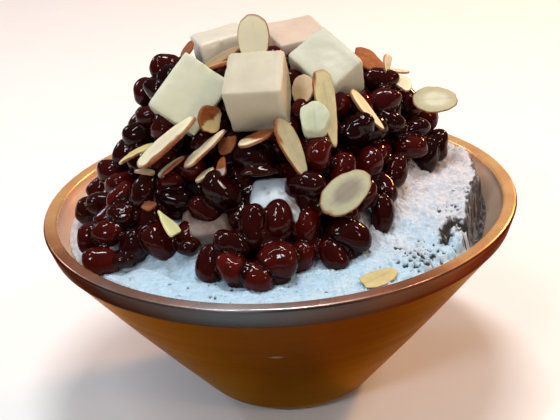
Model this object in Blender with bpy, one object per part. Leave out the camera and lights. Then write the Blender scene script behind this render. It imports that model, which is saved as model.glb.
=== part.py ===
"""Patbingsu in its own bowl: milk ice under sweet red beans, rice cakes and sliced almonds.

The bowl is a double-walled pressed steel bowl that stands on the plane Z = 0, centred on the origin,
with its front towards -Y. Sizes are in millimetres and are turned to metres as each mesh is made.
Heights of the food are measured from the rim of the bowl, and directions in degrees from +X
(right 0, back 90, left 180, front 270).
"""
from math import atan2, cos, degrees, hypot, pi, radians, sin, sqrt

import bmesh
import bpy
from mathutils import Matrix, Vector

MM = 0.001
GAP = 0.3                 # clearance between pieces that touch
SHARP_ANGLE = 40          # edges sharper than this stay crisp

# Bowl
BOWL_HEIGHT = 74.5
RIM_RADIUS = 85.0
LIP_WIDTH = 5.0
LIP_CORNER = 1.2          # rounding of the lip's outer and inner edge
BAND_HEIGHT = 7.2
BAND_TAPER = 1.85         # the band's lower edge is this much inside the rim
SHEET = 1.2               # steel thickness
STRAIGHT_DEPTH = 3.0      # the inner wall drops straight this far before it slopes
WALL_SLOPE = 0.76         # inner wall: radius lost for each mm of depth
INNER_FLOOR = 5.5         # top of the inner floor above the table
INNER_CORNER = 14.0
BODY_RADIUS = 82.4        # outer body where it meets the band
BODY_FOOT = 29.8          # where the body's straight side would meet the table
BODY_BULGE = 0.5
BODY_STEPS = 3
FOOT_CORNER = 15.0
RECESS_RADIUS = 17.0
RECESS_DEPTH = 1.0
BOWL_SEGMENTS = 40

# Shaved ice
ICE_CENTRE = (-8.0, 10.0)
ICE_RADIUS = 66.0         # radius of the mound
ICE_TOP = 26.0
ICE_CROWN = 1.2           # how soon the mound falls off towards its foot
# Height round the mound's foot, and where the ice meets the wall
ICE_EDGE = {0: 4, 35: 3, 90: -6, 145: 1, 180: -6, 225: -5, 270: -4, 315: -2}
ICE_WALL = {0: -9, 15: -8, 35: -10, 90: -11, 145: -6, 180: -9, 225: -8, 270: -5, 318: -6, 332: -10, 345: -11}
ICE_DROP = 4.0            # width of the broken edge down to the wall
ICE_SECTORS = 42
ICE_RINGS = (0.14, 0.28, 0.42, 0.56, 0.68, 0.79, 0.88, 0.94, 0.97)

# Bean heap
HEAP_CENTRE = (-4.0, 10.0)
HEAP_TOP = 50.0
HEAP_RADIUS = {0: 67, 30: 64, 60: 59, 90: 57, 120: 59, 150: 62, 180: 66, 200: 69, 220: 75, 235: 65, 247: 62,
               256: 71, 268: 74, 280: 64, 290: 67, 305: 60, 320: 56, 338: 53, 350: 60}
HEAP_EDGE = {0: 10, 30: 12, 60: 10, 90: 8, 135: 8, 180: 3, 235: 4, 275: 5, 290: 6, 325: 10, 345: 12}
HEAP_SHOULDER = {0: 2.6, 45: 2.6, 90: 3, 120: 4, 150: 5, 180: 5, 225: 2.6, 270: 2, 315: 2.6}
HEAP_FALL = {0: 0.65, 45: 0.7, 90: 1, 120: 1.6, 150: 2.6, 180: 2.8, 200: 2.4, 225: 1.45, 270: 1.15, 315: 0.85}
HEAP_LUMP = 1.3
HEAP_LUMP_LENGTHS = (4.2, 4.6, 5.3)   # across, deep and slantwise, over one radian of the lumps' waves
HEAP_RIM_SHARE = 0.45     # the outline stands this far between the ice and the heap's own edge
HEAP_SINK = 1.5           # how far the uncut heap reaches into the ice
HEAP_SECTORS = 42
HEAP_RINGS = (0.13, 0.26, 0.38, 0.5, 0.61, 0.71, 0.8, 0.88, 0.94, 0.97)
HEAP_UNDER_RINGS = (0.96, 0.8, 0.6, 0.4, 0.2)

# Rice cakes: centre, turn about Z, X and Y in that order, size across, deep and tall, and how much
# narrower the back and the bottom are than the front and the top.
CAKE_CORNER = 1.8
CAKE_CORNER_STEPS = 2
CAKES = {
    "rice_cake_left": ((-28, -10, 43), (-58, 43, 54), (19, 22, 20), 1.0, 0.96),
    "rice_cake_front": ((-4.2, -21, 46.8), (-9, 28, -3), (20.5, 19, 19.5), 0.88, 0.92),
    "rice_cake_right": ((19.7, -1.6, 45.5), (-62, 27, 33), (20.5, 17, 20), 0.97, 1.0),
    "rice_cake_back_right": ((10, 21.5, 45.7), (20, 9, -2), (20, 20, 20), 1.0, 1.0),
    "rice_cake_back_left": ((-16, 21, 46), (14, -4, -8), (19, 20, 20), 0.95, 1.0),
    "rice_cake_buried": ((0, -37, 10), (-8, 36, 4), (20, 19, 18), 1.0, 1.0),
    "rice_cake_stained": ((-23, -33, 3.5), (-8, 30, -6), (20, 19, 19), 0.95, 1.0),
}

# Almond slices: centre, heading of the long axis, its climb, the roll about it, length, width, thickness.
ALMOND_POINTS = 12
ALMOND_TAPER = 0.22       # the outline narrows this much towards the pointed end
ALMONDS = {
    "almond_standing_top": ((-5, 2, 56.4), 247, -84, -10, 21, 12, 1.3),
    "almond_under_top": ((-16.6, 4.2, 51.5), 12, 24, 0, 15, 9, 1.3),
    "almond_back_left": ((-28.5, 9, 54), 16, 49, 0, 7, 7, 1.3),
    "almond_left_upright": ((-20.9, -24.4, 39.7), 245, -60, -70, 10, 9.5, 1.5),
    "almond_long_left": ((-35.5, -29, 34.5), 8, 36, 0, 26, 11.5, 1.8),
    "almond_yellow_left": ((-47.2, -17.6, 26.8), -20, 28, 5, 16, 8.5, 1.2),
    "almond_under_long": ((-43.6, -30, 24.6), -18, -6, -15, 7, 8, 1.3),
    "almond_narrow_left": ((-35, -30, 26), 30, 25, -20, 11, 8, 1.3),
    "almond_mid_left": ((-23.3, -28.8, 31), 22, 33, -10, 19, 10, 1.3),
    "almond_skin_behind": ((-15.9, -26.9, 31.5), 230, -50, 0, 8.5, 7, 1.2),
    "almond_small_narrow": ((-24, -34, 23.5), -1, 32, -5, 8, 8, 1.2),
    "almond_flake_tan": ((-18, -35, 26), 250, -47, 25, 8, 5, 1.2),
    "almond_skin_front": ((-6, -33, 35), 14, 16, -5, 13, 9, 1.6),
    "almond_centre_front": ((5.2, -36.4, 32.2), -55, -53, -15, 22, 10, 1.4),
    "almond_tan_disc": ((10.6, -15.4, 44.4), 235, -65, 10, 10.4, 10, 1.3),
    "almond_right_upright": ((18, -23.8, 40), 283, -61, -25, 27, 9, 1.4),
    "almond_sliver_top": ((-17.2, -4.9, 51.9), 19, 8, -10, 8, 6, 1.2),
    "almond_chunk": ((13.4, -30.6, 38.8), 0, 4, 62, 10.5, 10.5, 3.8),
    "almond_right_slant": ((32, -14, 35), -18, -52, 0, 18, 8, 1.4),
    "almond_big_oval": ((22, -43, 18), 43, 14, 45, 23, 12.5, 1.3),
    "almond_under_oval": ((19.3, -44, 16), 43, 14, 45, 14, 11, 1.3),
    "almond_far_right": ((59, 11, 28), 16, -5, 40, 18, 11.5, 1.3),
    "almond_small_right": ((47, 9, 36), -16, -27, 20, 8, 8, 1.3),
    "almond_edge_right": ((46.5, 17, 38), 15, -14, -5, 9, 8, 1.2),
    "almond_sliver_right": ((42, 11, 42.5), -73, -76, -45, 8, 8, 1.2),
    "almond_skin_back": ((36, 15, 43.3), -18, -32, 10, 15, 12, 1.4),
    "almond_green_piece": ((-36, -44.2, 11), -42, -38, -20, 13, 8.5, 1.3),
    "almond_flake_left": ((-43, -36, 15), 11, 23, 10, 6, 5, 1.2),
    "almond_on_ice": ((29, -65, -2.4), 36, 2, -3, 15, 10, 1.2),
}

# Linear colour, roughness and metallic of each plain finish
LINER_STEEL = ((0.42, 0.30, 0.21), 0.32, 1.0)
BODY_BRONZE = ((0.28, 0.15, 0.06), 0.3, 1.0)
MILK_ICE = ((0.75, 0.82, 0.88), 0.6, 0.0)
RED_BEAN = ((0.06, 0.01, 0.01), 0.2, 0.0)
RICE_CAKE = ((0.66, 0.62, 0.5), 0.45, 0.0)
ALMOND_FLESH = ((0.75, 0.62, 0.4), 0.5, 0.0)


def finish(name, mesh, look):
    """Put a mesh in the scene as one named sub-part with its own material."""
    colour, roughness, metallic = look
    material = bpy.data.materials.new(name)
    material.use_nodes = True
    shader = material.node_tree.nodes["Principled BSDF"]
    shader.inputs["Base Color"].default_value = (*colour, 1)
    shader.inputs["Roughness"].default_value = roughness
    shader.inputs["Metallic"].default_value = metallic
    mesh.materials.append(material)
    mesh.shade_smooth()
    mesh.set_sharp_from_angle(angle=radians(SHARP_ANGLE))
    part = bpy.data.objects.new(name, mesh)
    bpy.context.collection.objects.link(part)
    return part


def rings_to_mesh(name, rings, first_pole, last_pole):
    """Join closed rings of points, in mm, from one pole to the other into a closed mesh of triangles."""
    bm = bmesh.new()
    loops = [[bm.verts.new(Vector(point) * MM) for point in ring] for ring in rings]
    for pole, loop in ((first_pole, loops[0]), (last_pole, loops[-1])):
        centre = bm.verts.new(Vector(pole) * MM)
        for i, corner in enumerate(loop):
            bm.faces.new((centre, corner, loop[i - 1]))
    for inner, outer in zip(loops, loops[1:]):
        for i in range(len(inner)):
            bm.faces.new((inner[i - 1], inner[i], outer[i], outer[i - 1]))
    bmesh.ops.triangulate(bm, faces=bm.faces)
    bmesh.ops.recalc_face_normals(bm, faces=bm.faces)
    mesh = bpy.data.meshes.new(name)
    bm.to_mesh(mesh)
    bm.free()
    return mesh


def around(knots, direction):
    """A value given at a few directions, read anywhere round the circle along a smooth closed curve."""
    stops = sorted(knots)
    count = len(stops)
    direction %= 360
    i = max((k for k in range(count) if stops[k] <= direction), default=count - 1)
    if direction < stops[0]:
        direction += 360
    place = [stops[(i + k) % count] + 360 * ((i + k) // count) for k in (-1, 0, 1, 2)]
    value = [knots[stops[(i + k) % count]] for k in (-1, 0, 1, 2)]
    span = place[2] - place[1]
    t = (direction - place[1]) / span
    leave = (value[2] - value[0]) / (place[2] - place[0]) * span
    arrive = (value[3] - value[1]) / (place[3] - place[1]) * span
    return ((2*t**3 - 3*t**2 + 1) * value[1] + (t**3 - 2*t**2 + t) * leave
            + (3*t**2 - 2*t**3) * value[2] + (t**3 - t**2) * arrive)


def smoothstep(t):
    """0 below 0, 1 above 1, with a soft start and end."""
    t = min(1, max(0, t))
    return t * t * (3 - 2 * t)


# ---- Bowl ----

def arc(centre, radius, start, end, steps):
    """Points of an arc in the (radius, height) plane, angles in degrees."""
    turns = [radians(start + (end - start) * k / steps) for k in range(steps + 1)]
    return [(centre[0] + radius * cos(a), centre[1] + radius * sin(a)) for a in turns]


def lathe(name, profile):
    """Turn a profile of (radius, height) points that starts and ends on the axis."""
    rings = [[(r * cos(2*pi*k / BOWL_SEGMENTS), r * sin(2*pi*k / BOWL_SEGMENTS), z)
              for k in range(BOWL_SEGMENTS)] for r, z in profile[1:-1]]
    return rings_to_mesh(name, rings, (0, 0, profile[0][1]), (0, 0, profile[-1][1]))


def inner_wall(height):
    """Inside radius of the bowl at a height measured from the rim."""
    return RIM_RADIUS - LIP_WIDTH - max(0, -STRAIGHT_DEPTH - height) * WALL_SLOPE


def inner_corner(offset):
    """The corner between inner wall and floor, moved off the food side by an offset."""
    lean = sqrt(1 + WALL_SLOPE**2)
    floor = INNER_FLOOR - BOWL_HEIGHT
    radius = INNER_CORNER + offset
    reach = inner_wall(floor) - INNER_CORNER * (lean - WALL_SLOPE)
    tilt = -degrees(atan2(WALL_SLOPE, 1))
    return arc((reach, INNER_FLOOR + INNER_CORNER), radius, -90, tilt, 4)


def make_liner():
    """Inner wall, rounded lip and hanging band of one sheet."""
    top = BOWL_HEIGHT
    inner = RIM_RADIUS - LIP_WIDTH
    band_bottom = top - BAND_HEIGHT
    low = RIM_RADIUS - BAND_TAPER
    lean = SHEET * (sqrt(1 + WALL_SLOPE**2) - 1)
    profile = [(0, INNER_FLOOR)] + inner_corner(0)
    profile += [(inner, top - STRAIGHT_DEPTH)]
    profile += arc((inner + LIP_CORNER, top - LIP_CORNER), LIP_CORNER, 180, 90, 3)
    profile += arc((RIM_RADIUS - LIP_CORNER, top - LIP_CORNER), LIP_CORNER, 90, 0, 3)
    profile += [(low, band_bottom), (low - SHEET, band_bottom)]
    profile += [(RIM_RADIUS - SHEET, top - LIP_CORNER - SHEET)]
    profile += [(inner + SHEET, top - LIP_CORNER - SHEET), (inner + SHEET, top - STRAIGHT_DEPTH - lean)]
    profile += inner_corner(SHEET)[::-1] + [(0, INNER_FLOOR - SHEET)]
    return finish("bowl_liner", lathe("bowl_liner", profile), LINER_STEEL)


def make_body():
    """Outer wall and foot, which butt against the band's lower edge."""
    top = BOWL_HEIGHT - BAND_HEIGHT - GAP
    side = Vector((BODY_RADIUS - BODY_FOOT, top)).normalized()
    inward = Vector((-side.y, side.x))
    reach = BODY_FOOT + FOOT_CORNER * (1 - inward.y) / inward.x
    tilt = degrees(atan2(-inward.y, -inward.x))
    corner = arc((reach, FOOT_CORNER), FOOT_CORNER, -90, tilt, 4)
    inner_corner_arc = arc((reach, FOOT_CORNER), FOOT_CORNER - SHEET, -90, tilt, 4)
    rise = []
    for k in range(1, BODY_STEPS + 1):
        share = k / BODY_STEPS
        rise.append(Vector(corner[-1]).lerp(Vector((BODY_RADIUS, top)), share)
                    - inward * BODY_BULGE * sin(pi * share))
    inner_rise = [point + inward * SHEET for point in rise[:-1]]
    inner_rise += [Vector((BODY_RADIUS - SHEET / side.y, top))]
    profile = [(0, RECESS_DEPTH), (RECESS_RADIUS - RECESS_DEPTH, RECESS_DEPTH), (RECESS_RADIUS, 0)]
    profile += corner + [tuple(point) for point in rise + inner_rise[::-1]]
    profile += inner_corner_arc[::-1] + [(RECESS_RADIUS, SHEET)]
    profile += [(RECESS_RADIUS - RECESS_DEPTH, SHEET + RECESS_DEPTH), (0, SHEET + RECESS_DEPTH)]
    return finish("bowl_body", lathe("bowl_body", profile), BODY_BRONZE)


# ---- Shaved ice ----

def ice_height(x, y):
    """Top of the ice above the rim: a mound, and a broken edge that drops to the wall."""
    direction = degrees(atan2(y, x))
    foot = around(ICE_EDGE, direction)
    wall = around(ICE_WALL, direction)
    reach = inner_wall(wall) - GAP
    t = hypot(x - ICE_CENTRE[0], y - ICE_CENTRE[1]) / ICE_RADIUS
    mound = foot + (ICE_TOP - foot) * max(0, 1 - t * t)**ICE_CROWN
    return mound + (wall - mound) * smoothstep((hypot(x, y) - (reach - ICE_DROP)) / ICE_DROP)


def ice_mesh(name, lift):
    """The ice as one solid down to the bowl's floor, its top raised by lift."""
    directions = [360 * k / ICE_SECTORS for k in range(ICE_SECTORS)]
    rings = []
    for share in ICE_RINGS + (1.0,):
        ring = []
        for direction in directions:
            reach = (inner_wall(around(ICE_WALL, direction)) - GAP) * share
            x, y = reach * cos(radians(direction)), reach * sin(radians(direction))
            ring.append((x, y, BOWL_HEIGHT + ice_height(x, y) + lift))
        rings.append(ring)
    corner = inner_corner(-GAP)[::-1]
    for radius, height in corner:
        rings.append([(radius * cos(radians(a)), radius * sin(radians(a)), height) for a in directions])
    top = (0, 0, BOWL_HEIGHT + ice_height(0, 0) + lift)
    return rings_to_mesh(name, rings, top, (0, 0, INNER_FLOOR + GAP))


# ---- Bean heap ----

def heap_height(x, y):
    """Top of the heap above the rim at a place inside its outline."""
    dx, dy = x - HEAP_CENTRE[0], y - HEAP_CENTRE[1]
    direction = degrees(atan2(dy, dx))
    t = min(1, hypot(dx, dy) / around(HEAP_RADIUS, direction))
    edge = around(HEAP_EDGE, direction)
    rise = (1 - t**around(HEAP_SHOULDER, direction))**around(HEAP_FALL, direction)
    across, deep, slant = HEAP_LUMP_LENGTHS
    lumps = sin(x / across + 1) * sin(y / deep) + 0.5 * sin((x + y) / slant)
    return edge + (HEAP_TOP - edge) * rise + HEAP_LUMP * lumps


def heap_mesh(name):
    """The heap as one solid whose underside reaches into the ice, ready to be cut by it."""
    directions = [360 * k / HEAP_SECTORS for k in range(HEAP_SECTORS)]
    rings = []

    def add_ring(share, height_at):
        ring = []
        for direction in directions:
            reach = around(HEAP_RADIUS, direction) * share
            x = HEAP_CENTRE[0] + reach * cos(radians(direction))
            y = HEAP_CENTRE[1] + reach * sin(radians(direction))
            ring.append((x, y, BOWL_HEIGHT + height_at(x, y)))
        rings.append(ring)

    for share in HEAP_RINGS:
        add_ring(share, heap_height)
    add_ring(1.0, lambda x, y: (HEAP_RIM_SHARE * heap_height(x, y)
                                + (1 - HEAP_RIM_SHARE) * ice_height(x, y)))
    for share in HEAP_UNDER_RINGS:
        add_ring(share, lambda x, y: ice_height(x, y) - HEAP_SINK)
    x, y = HEAP_CENTRE
    return rings_to_mesh(name, rings, (x, y, BOWL_HEIGHT + heap_height(x, y)),
                         (x, y, BOWL_HEIGHT + ice_height(x, y) - HEAP_SINK))


# ---- Rice cakes and almond slices ----

def cake_mesh(name, size, back, bottom, grow=0.0):
    """A hand-cut block, narrower at its back and its bottom, grown by a margin on every side."""
    across, deep, tall = (extent + 2 * grow for extent in size)
    bm = bmesh.new()
    bmesh.ops.create_cube(bm, size=1)
    for vert in bm.verts:
        pinch = (back if vert.co.y > 0 else 1) * (bottom if vert.co.z < 0 else 1)
        vert.co = Vector((vert.co.x * across * pinch, vert.co.y * deep, vert.co.z * tall)) * MM
    mesh = bpy.data.meshes.new(name)
    bm.to_mesh(mesh)
    bm.free()
    return mesh


def almond_mesh(name, length, width, thick, grow=0.0):
    """A slice of almond: a flat leaf, blunt at one end and pointed at the other."""
    bm = bmesh.new()
    outline = []
    for k in range(ALMOND_POINTS):
        turn = 2 * pi * k / ALMOND_POINTS
        taper = 1 - ALMOND_TAPER * cos(turn)
        x = (length / 2 + grow) * cos(turn)
        y = (width / 2 + grow) * sin(turn) * taper
        outline.append((x, y))
    half = thick / 2 + grow
    bottom = [bm.verts.new(Vector((x, y, -half)) * MM) for x, y in outline]
    top = [bm.verts.new(Vector((x, y, half)) * MM) for x, y in outline]
    bm.faces.new(bottom[::-1])
    bm.faces.new(top)
    for i in range(ALMOND_POINTS):
        bm.faces.new((bottom[i - 1], bottom[i], top[i], top[i - 1]))
    mesh = bpy.data.meshes.new(name)
    bm.to_mesh(mesh)
    bm.free()
    return mesh


def place(part, centre, turn):
    """Stand a piece at a centre, whose height is measured from the rim."""
    spot = Vector((centre[0], centre[1], centre[2] + BOWL_HEIGHT)) * MM
    part.matrix_world = Matrix.Translation(spot) @ turn


def cake_turn(angles):
    """Turn about Z, then about the block's own X and Y."""
    about_z, about_x, about_y = (radians(angle) for angle in angles)
    return (Matrix.Rotation(about_z, 4, "Z") @ Matrix.Rotation(about_x, 4, "X")
            @ Matrix.Rotation(about_y, 4, "Y"))


def almond_turn(heading, climb, roll):
    """Point the long axis along a heading, raise its far end, then roll the slice about it."""
    return (Matrix.Rotation(radians(heading), 4, "Z") @ Matrix.Rotation(radians(-climb), 4, "Y")
            @ Matrix.Rotation(radians(roll), 4, "X"))


def make_cutter(group, name, mesh):
    """An object that only cuts others, kept with the rest of its group."""
    cutter = bpy.data.objects.new(name, mesh)
    group.objects.link(cutter)
    cutter.hide_render = True
    cutter.display_type = "WIRE"
    return cutter


def cut(part, group):
    """Take the volume of a whole group of cutters out of a piece."""
    boolean = part.modifiers.new("cut_" + group.name, "BOOLEAN")
    boolean.operation = "DIFFERENCE"
    boolean.solver = "EXACT"
    boolean.operand_type = "COLLECTION"
    boolean.collection = group


def make_group(name):
    """A collection of cutters in the scene."""
    group = bpy.data.collections.new(name)
    bpy.context.scene.collection.children.link(group)
    return group


def make_cakes(cutters):
    """The rice cakes, each with a slightly larger cutter that makes its seat."""
    for name, (centre, angles, size, back, bottom) in CAKES.items():
        cake = finish(name, cake_mesh(name, size, back, bottom), RICE_CAKE)
        place(cake, centre, cake_turn(angles))
        bevel = cake.modifiers.new("rounded", "BEVEL")
        bevel.width = CAKE_CORNER * MM
        bevel.segments = CAKE_CORNER_STEPS
        seat = make_cutter(cutters, name + "_seat", cake_mesh(name + "_seat", size, back, bottom, GAP))
        place(seat, centre, cake_turn(angles))


def make_almonds(cutters):
    """The almond slices, each with a slightly larger cutter that makes its seat."""
    for name, (centre, heading, climb, roll, length, width, thick) in ALMONDS.items():
        turn = almond_turn(heading, climb, roll)
        almond = finish(name, almond_mesh(name, length, width, thick), ALMOND_FLESH)
        place(almond, centre, turn)
        seat = make_cutter(cutters, name + "_seat", almond_mesh(name + "_seat", length, width, thick, GAP))
        place(seat, centre, turn)


def main():
    for item in list(bpy.data.objects):
        bpy.data.objects.remove(item)

    make_liner()
    make_body()
    ice = finish("shaved_ice", ice_mesh("shaved_ice", 0), MILK_ICE)
    heap = finish("bean_heap", heap_mesh("bean_heap"), RED_BEAN)

    seats = make_group("seats")
    make_cakes(seats)
    make_almonds(seats)
    cut(ice, seats)

    heap_seats = make_group("heap_seats")
    for seat in seats.objects:
        heap_seats.objects.link(seat)
    make_cutter(heap_seats, "ice_seat", ice_mesh("ice_seat", GAP))
    cut(heap, heap_seats)


main()
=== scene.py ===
"""Patbingsu in its own bowl: milk ice under sweet red beans, rice cakes and sliced almonds.

The object stands on Z = 0 with its front towards -Y. Sizes are written in millimetres and turned to
metres as each mesh is made. Heights of the food are measured from the rim of the bowl, and directions
in degrees from +X: right 0, back 90, left 180, front 270.
"""
import math

import bmesh
import bpy
import numpy as np
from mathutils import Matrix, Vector, noise
from mathutils.bvhtree import BVHTree


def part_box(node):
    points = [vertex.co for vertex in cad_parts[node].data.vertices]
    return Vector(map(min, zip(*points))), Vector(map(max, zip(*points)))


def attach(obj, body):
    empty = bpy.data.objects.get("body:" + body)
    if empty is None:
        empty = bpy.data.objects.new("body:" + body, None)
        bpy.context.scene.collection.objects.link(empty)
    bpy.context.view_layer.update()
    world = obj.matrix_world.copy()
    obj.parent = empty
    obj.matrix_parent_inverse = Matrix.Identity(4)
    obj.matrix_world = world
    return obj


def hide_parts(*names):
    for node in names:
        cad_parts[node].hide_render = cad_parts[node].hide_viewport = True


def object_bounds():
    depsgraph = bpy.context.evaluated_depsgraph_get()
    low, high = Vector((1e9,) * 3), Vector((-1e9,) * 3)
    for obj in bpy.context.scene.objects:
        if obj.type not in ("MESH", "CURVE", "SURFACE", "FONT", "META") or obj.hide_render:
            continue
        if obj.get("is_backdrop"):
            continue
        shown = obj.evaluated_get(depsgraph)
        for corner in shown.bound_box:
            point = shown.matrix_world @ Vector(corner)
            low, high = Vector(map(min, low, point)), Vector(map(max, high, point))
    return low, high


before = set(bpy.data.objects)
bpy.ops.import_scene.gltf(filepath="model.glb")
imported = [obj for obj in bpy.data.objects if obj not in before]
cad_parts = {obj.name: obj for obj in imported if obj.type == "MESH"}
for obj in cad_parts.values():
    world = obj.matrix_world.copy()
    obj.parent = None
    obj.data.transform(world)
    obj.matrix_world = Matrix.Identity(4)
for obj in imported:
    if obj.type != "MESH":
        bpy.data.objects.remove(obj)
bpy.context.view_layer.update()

# ---- Bowl liner ----
# The inner wall, the rounded lip and the hanging band are one sheet of 1.2 mm stainless steel, spun and
# then rolled over. It is polished on the lip and brushed round the band. It is tinted bronze, and the
# tint is painted grey steel in front and bronze at the sides and back: a painted reflection.

MM = 0.001
RIM_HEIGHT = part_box("bowl_liner")[1].z / MM
RIM_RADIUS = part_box("bowl_liner")[1].x / MM
LIP_WIDTH = 5
LIP_CORNER = 1.2
BAND_HEIGHT = 7.2
BAND_TAPER = 1.85         # the band's lower edge is this much inside the rim
SHEET = 1.2
STRAIGHT_DEPTH = 3        # the inner wall drops straight this far before it slopes
WALL_SLOPE = 0.76         # radius lost for each mm of depth
WALL_BEND = 4             # radius of the bend between the straight and the sloping wall
INNER_FLOOR = 5.5
INNER_CORNER = 14
BAND_EDGE = 0.35          # the band's lower edge is broken by hand, so it isn't a knife edge
BOWL_STEPS = 216
SHARP_ANGLE = 50          # edges folded more than this stay crisp
CORNER_STEPS = 8
BEND_STEPS = 4
LIP_TURN = 6              # the polish of the lip ends this many points before the band starts
TINT_LEAN = 0.25          # the painted reflection's grey reaches further round on the left
TINT_CLOUD = 0.05         # how far its edge wanders


def linear(code):
    """An sRGB hex colour as the linear colour that a shader takes."""
    parts = [int(code[i:i + 2], 16) / 255 for i in (1, 3, 5)]
    return (*[p / 12.92 if p <= 0.04045 else ((p + 0.055) / 1.055) ** 2.4 for p in parts], 1)


def feed(node, inputs):
    """Give each input of a node its value, or link it to the node or socket that feeds it."""
    for socket, value in inputs.items():
        if isinstance(value, bpy.types.Node):
            value = value.outputs[0]
        if isinstance(value, bpy.types.NodeSocket):
            node.id_data.links.new(value, node.inputs[socket])
        else:
            node.inputs[socket].default_value = value


def add(tree, kind, inputs=None, stops=(), **settings):
    """Add a node with its settings, its ramp stops (from 0 to 1) and what feeds its inputs."""
    node = tree.nodes.new("ShaderNode" + kind)
    for key, value in settings.items():
        setattr(node, key, value)
    for place, code in stops:
        ramp = node.color_ramp.elements
        stop = ramp[0] if place == 0 else ramp[-1] if place == 1 else ramp.new(place)
        stop.color = linear(code)
    feed(node, inputs or {})
    return node


def per(size):
    """The scale of a pattern whose marks are this many millimetres across."""
    return 1 / (size * MM)


def start_material(name, **sockets):
    """A material with a Principled shader, its uniform values set on its own sockets, and where it is."""
    material = bpy.data.materials.new(name)
    material.use_nodes = True
    tree = material.node_tree
    shader = tree.nodes["Principled BSDF"]
    feed(shader, {key.replace("_", " ").title().replace("Ior", "IOR"): sockets[key] for key in sockets})
    return material, tree, shader, add(tree, "TexCoord").outputs["Object"]


def enter(name, data):
    """Put an object with its data in the scene."""
    holder = bpy.data.objects.new(name, data)
    bpy.context.scene.collection.objects.link(holder)
    return holder


def put(name, mesh, slot, finishes, *nodes):
    """Put a finished mesh in the scene, with its materials, as a piece that stands for CAD nodes."""
    mesh.name = name
    for finish in finishes:
        mesh.materials.append(finish)
    piece = enter(name, mesh)
    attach(piece, "root")
    if nodes:
        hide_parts(*nodes)


def arc(centre, radius, start, end, steps):
    """Points of an arc in the (radius, height) plane, angles in degrees."""
    turns = [math.radians(start + (end - start) * k / steps) for k in range(steps + 1)]
    return [(centre[0] + radius * math.cos(a), centre[1] + radius * math.sin(a)) for a in turns]


def ring_faces(rows, sides):
    """Faces that join closed rings of points, with a fan to a pole beyond the first and the last."""
    base = (rows - 1) * sides
    pole = rows * sides
    steps = [(k, (k + 1) % sides) for k in range(sides)]
    faces = [(pole, k, after) for k, after in steps]
    for low in range(0, base, sides):
        faces += [(low + after, low + k, low + sides + k, low + sides + after) for k, after in steps]
    return faces + [(base + after, base + k, pole + 1) for k, after in steps]


def mesh_of(name, points, faces):
    """A smooth mesh from points in millimetres."""
    mesh = bpy.data.meshes.new(name)
    mesh.from_pydata((np.asarray(points) * MM).tolist(), [], faces)
    mesh.shade_smooth()
    return mesh


def closed_mesh(name, rings, first_pole, last_pole):
    """A closed mesh over rings of points, from one pole to the other, with its faces turned outwards."""
    points = np.vstack((*rings, [first_pole], [last_pole]))
    mesh = mesh_of(name, points, ring_faces(len(rings), len(rings[0])))
    bm = bmesh.new()
    bm.from_mesh(mesh)
    bmesh.ops.recalc_face_normals(bm, faces=bm.faces)
    bm.to_mesh(mesh)
    bm.free()
    return mesh


def spin(name, profile, zones=()):
    """Turn a profile that starts and ends on the axis. A zone is the row where the next material starts."""
    turns = np.arange(BOWL_STEPS) * 2 * np.pi / BOWL_STEPS
    rings = [np.column_stack((r * np.cos(turns), r * np.sin(turns), np.full(BOWL_STEPS, z)))
             for r, z in profile[1:-1]]
    mesh = closed_mesh(name, rings, (0, *profile[0]), (0, *profile[-1]))
    for face in mesh.polygons:
        row = face.index // BOWL_STEPS - 1
        face.material_index = sum(row >= zone for zone in zones)
    mesh.set_sharp_from_angle(angle=math.radians(SHARP_ANGLE))
    return mesh


def inner_corner(offset):
    """The corner between inner wall and floor, moved off the food side by an offset."""
    lean = math.sqrt(1 + WALL_SLOPE ** 2)
    floor = INNER_FLOOR - RIM_HEIGHT
    reach = RIM_RADIUS - LIP_WIDTH - max(0, -STRAIGHT_DEPTH - floor) * WALL_SLOPE
    reach -= INNER_CORNER * (lean - WALL_SLOPE)
    tilt = -math.degrees(math.atan2(WALL_SLOPE, 1))
    return arc((reach, INNER_FLOOR + INNER_CORNER), INNER_CORNER + offset, -90, tilt, CORNER_STEPS)


def liner_profile():
    """Inner floor and wall, over the lip, down the band, and back up inside the sheet."""
    inner, top, low = RIM_RADIUS - LIP_WIDTH, RIM_HEIGHT, RIM_RADIUS - BAND_TAPER
    under_lip, band_foot = top - LIP_CORNER - SHEET, top - BAND_HEIGHT
    lean = SHEET * (math.sqrt(1 + WALL_SLOPE ** 2) - 1)
    tilt = math.degrees(math.atan2(WALL_SLOPE, 1))
    bend = WALL_BEND * math.tan(math.radians(tilt / 2))
    points = [(0, INNER_FLOOR)] + inner_corner(0)
    points += arc((inner - WALL_BEND, top - STRAIGHT_DEPTH + bend), WALL_BEND, -tilt, 0, BEND_STEPS)
    wall_end = len(points)
    points += arc((inner + LIP_CORNER, top - LIP_CORNER), LIP_CORNER, 180, 90, CORNER_STEPS)
    points += [(inner + LIP_WIDTH / 2, top)]
    points += arc((RIM_RADIUS - LIP_CORNER, top - LIP_CORNER), LIP_CORNER, 90, 0, CORNER_STEPS)
    lip_end = len(points)
    points += [(low, band_foot + BAND_EDGE), (low - BAND_EDGE, band_foot), (low - SHEET, band_foot)]
    points += [(RIM_RADIUS - SHEET, under_lip), (inner + SHEET, under_lip)]
    points += [(inner + SHEET, top - STRAIGHT_DEPTH - lean)]
    points += inner_corner(SHEET)[::-1] + [(0, INNER_FLOOR - SHEET)]
    return points, (wall_end - 1, lip_end - LIP_TURN)


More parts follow.
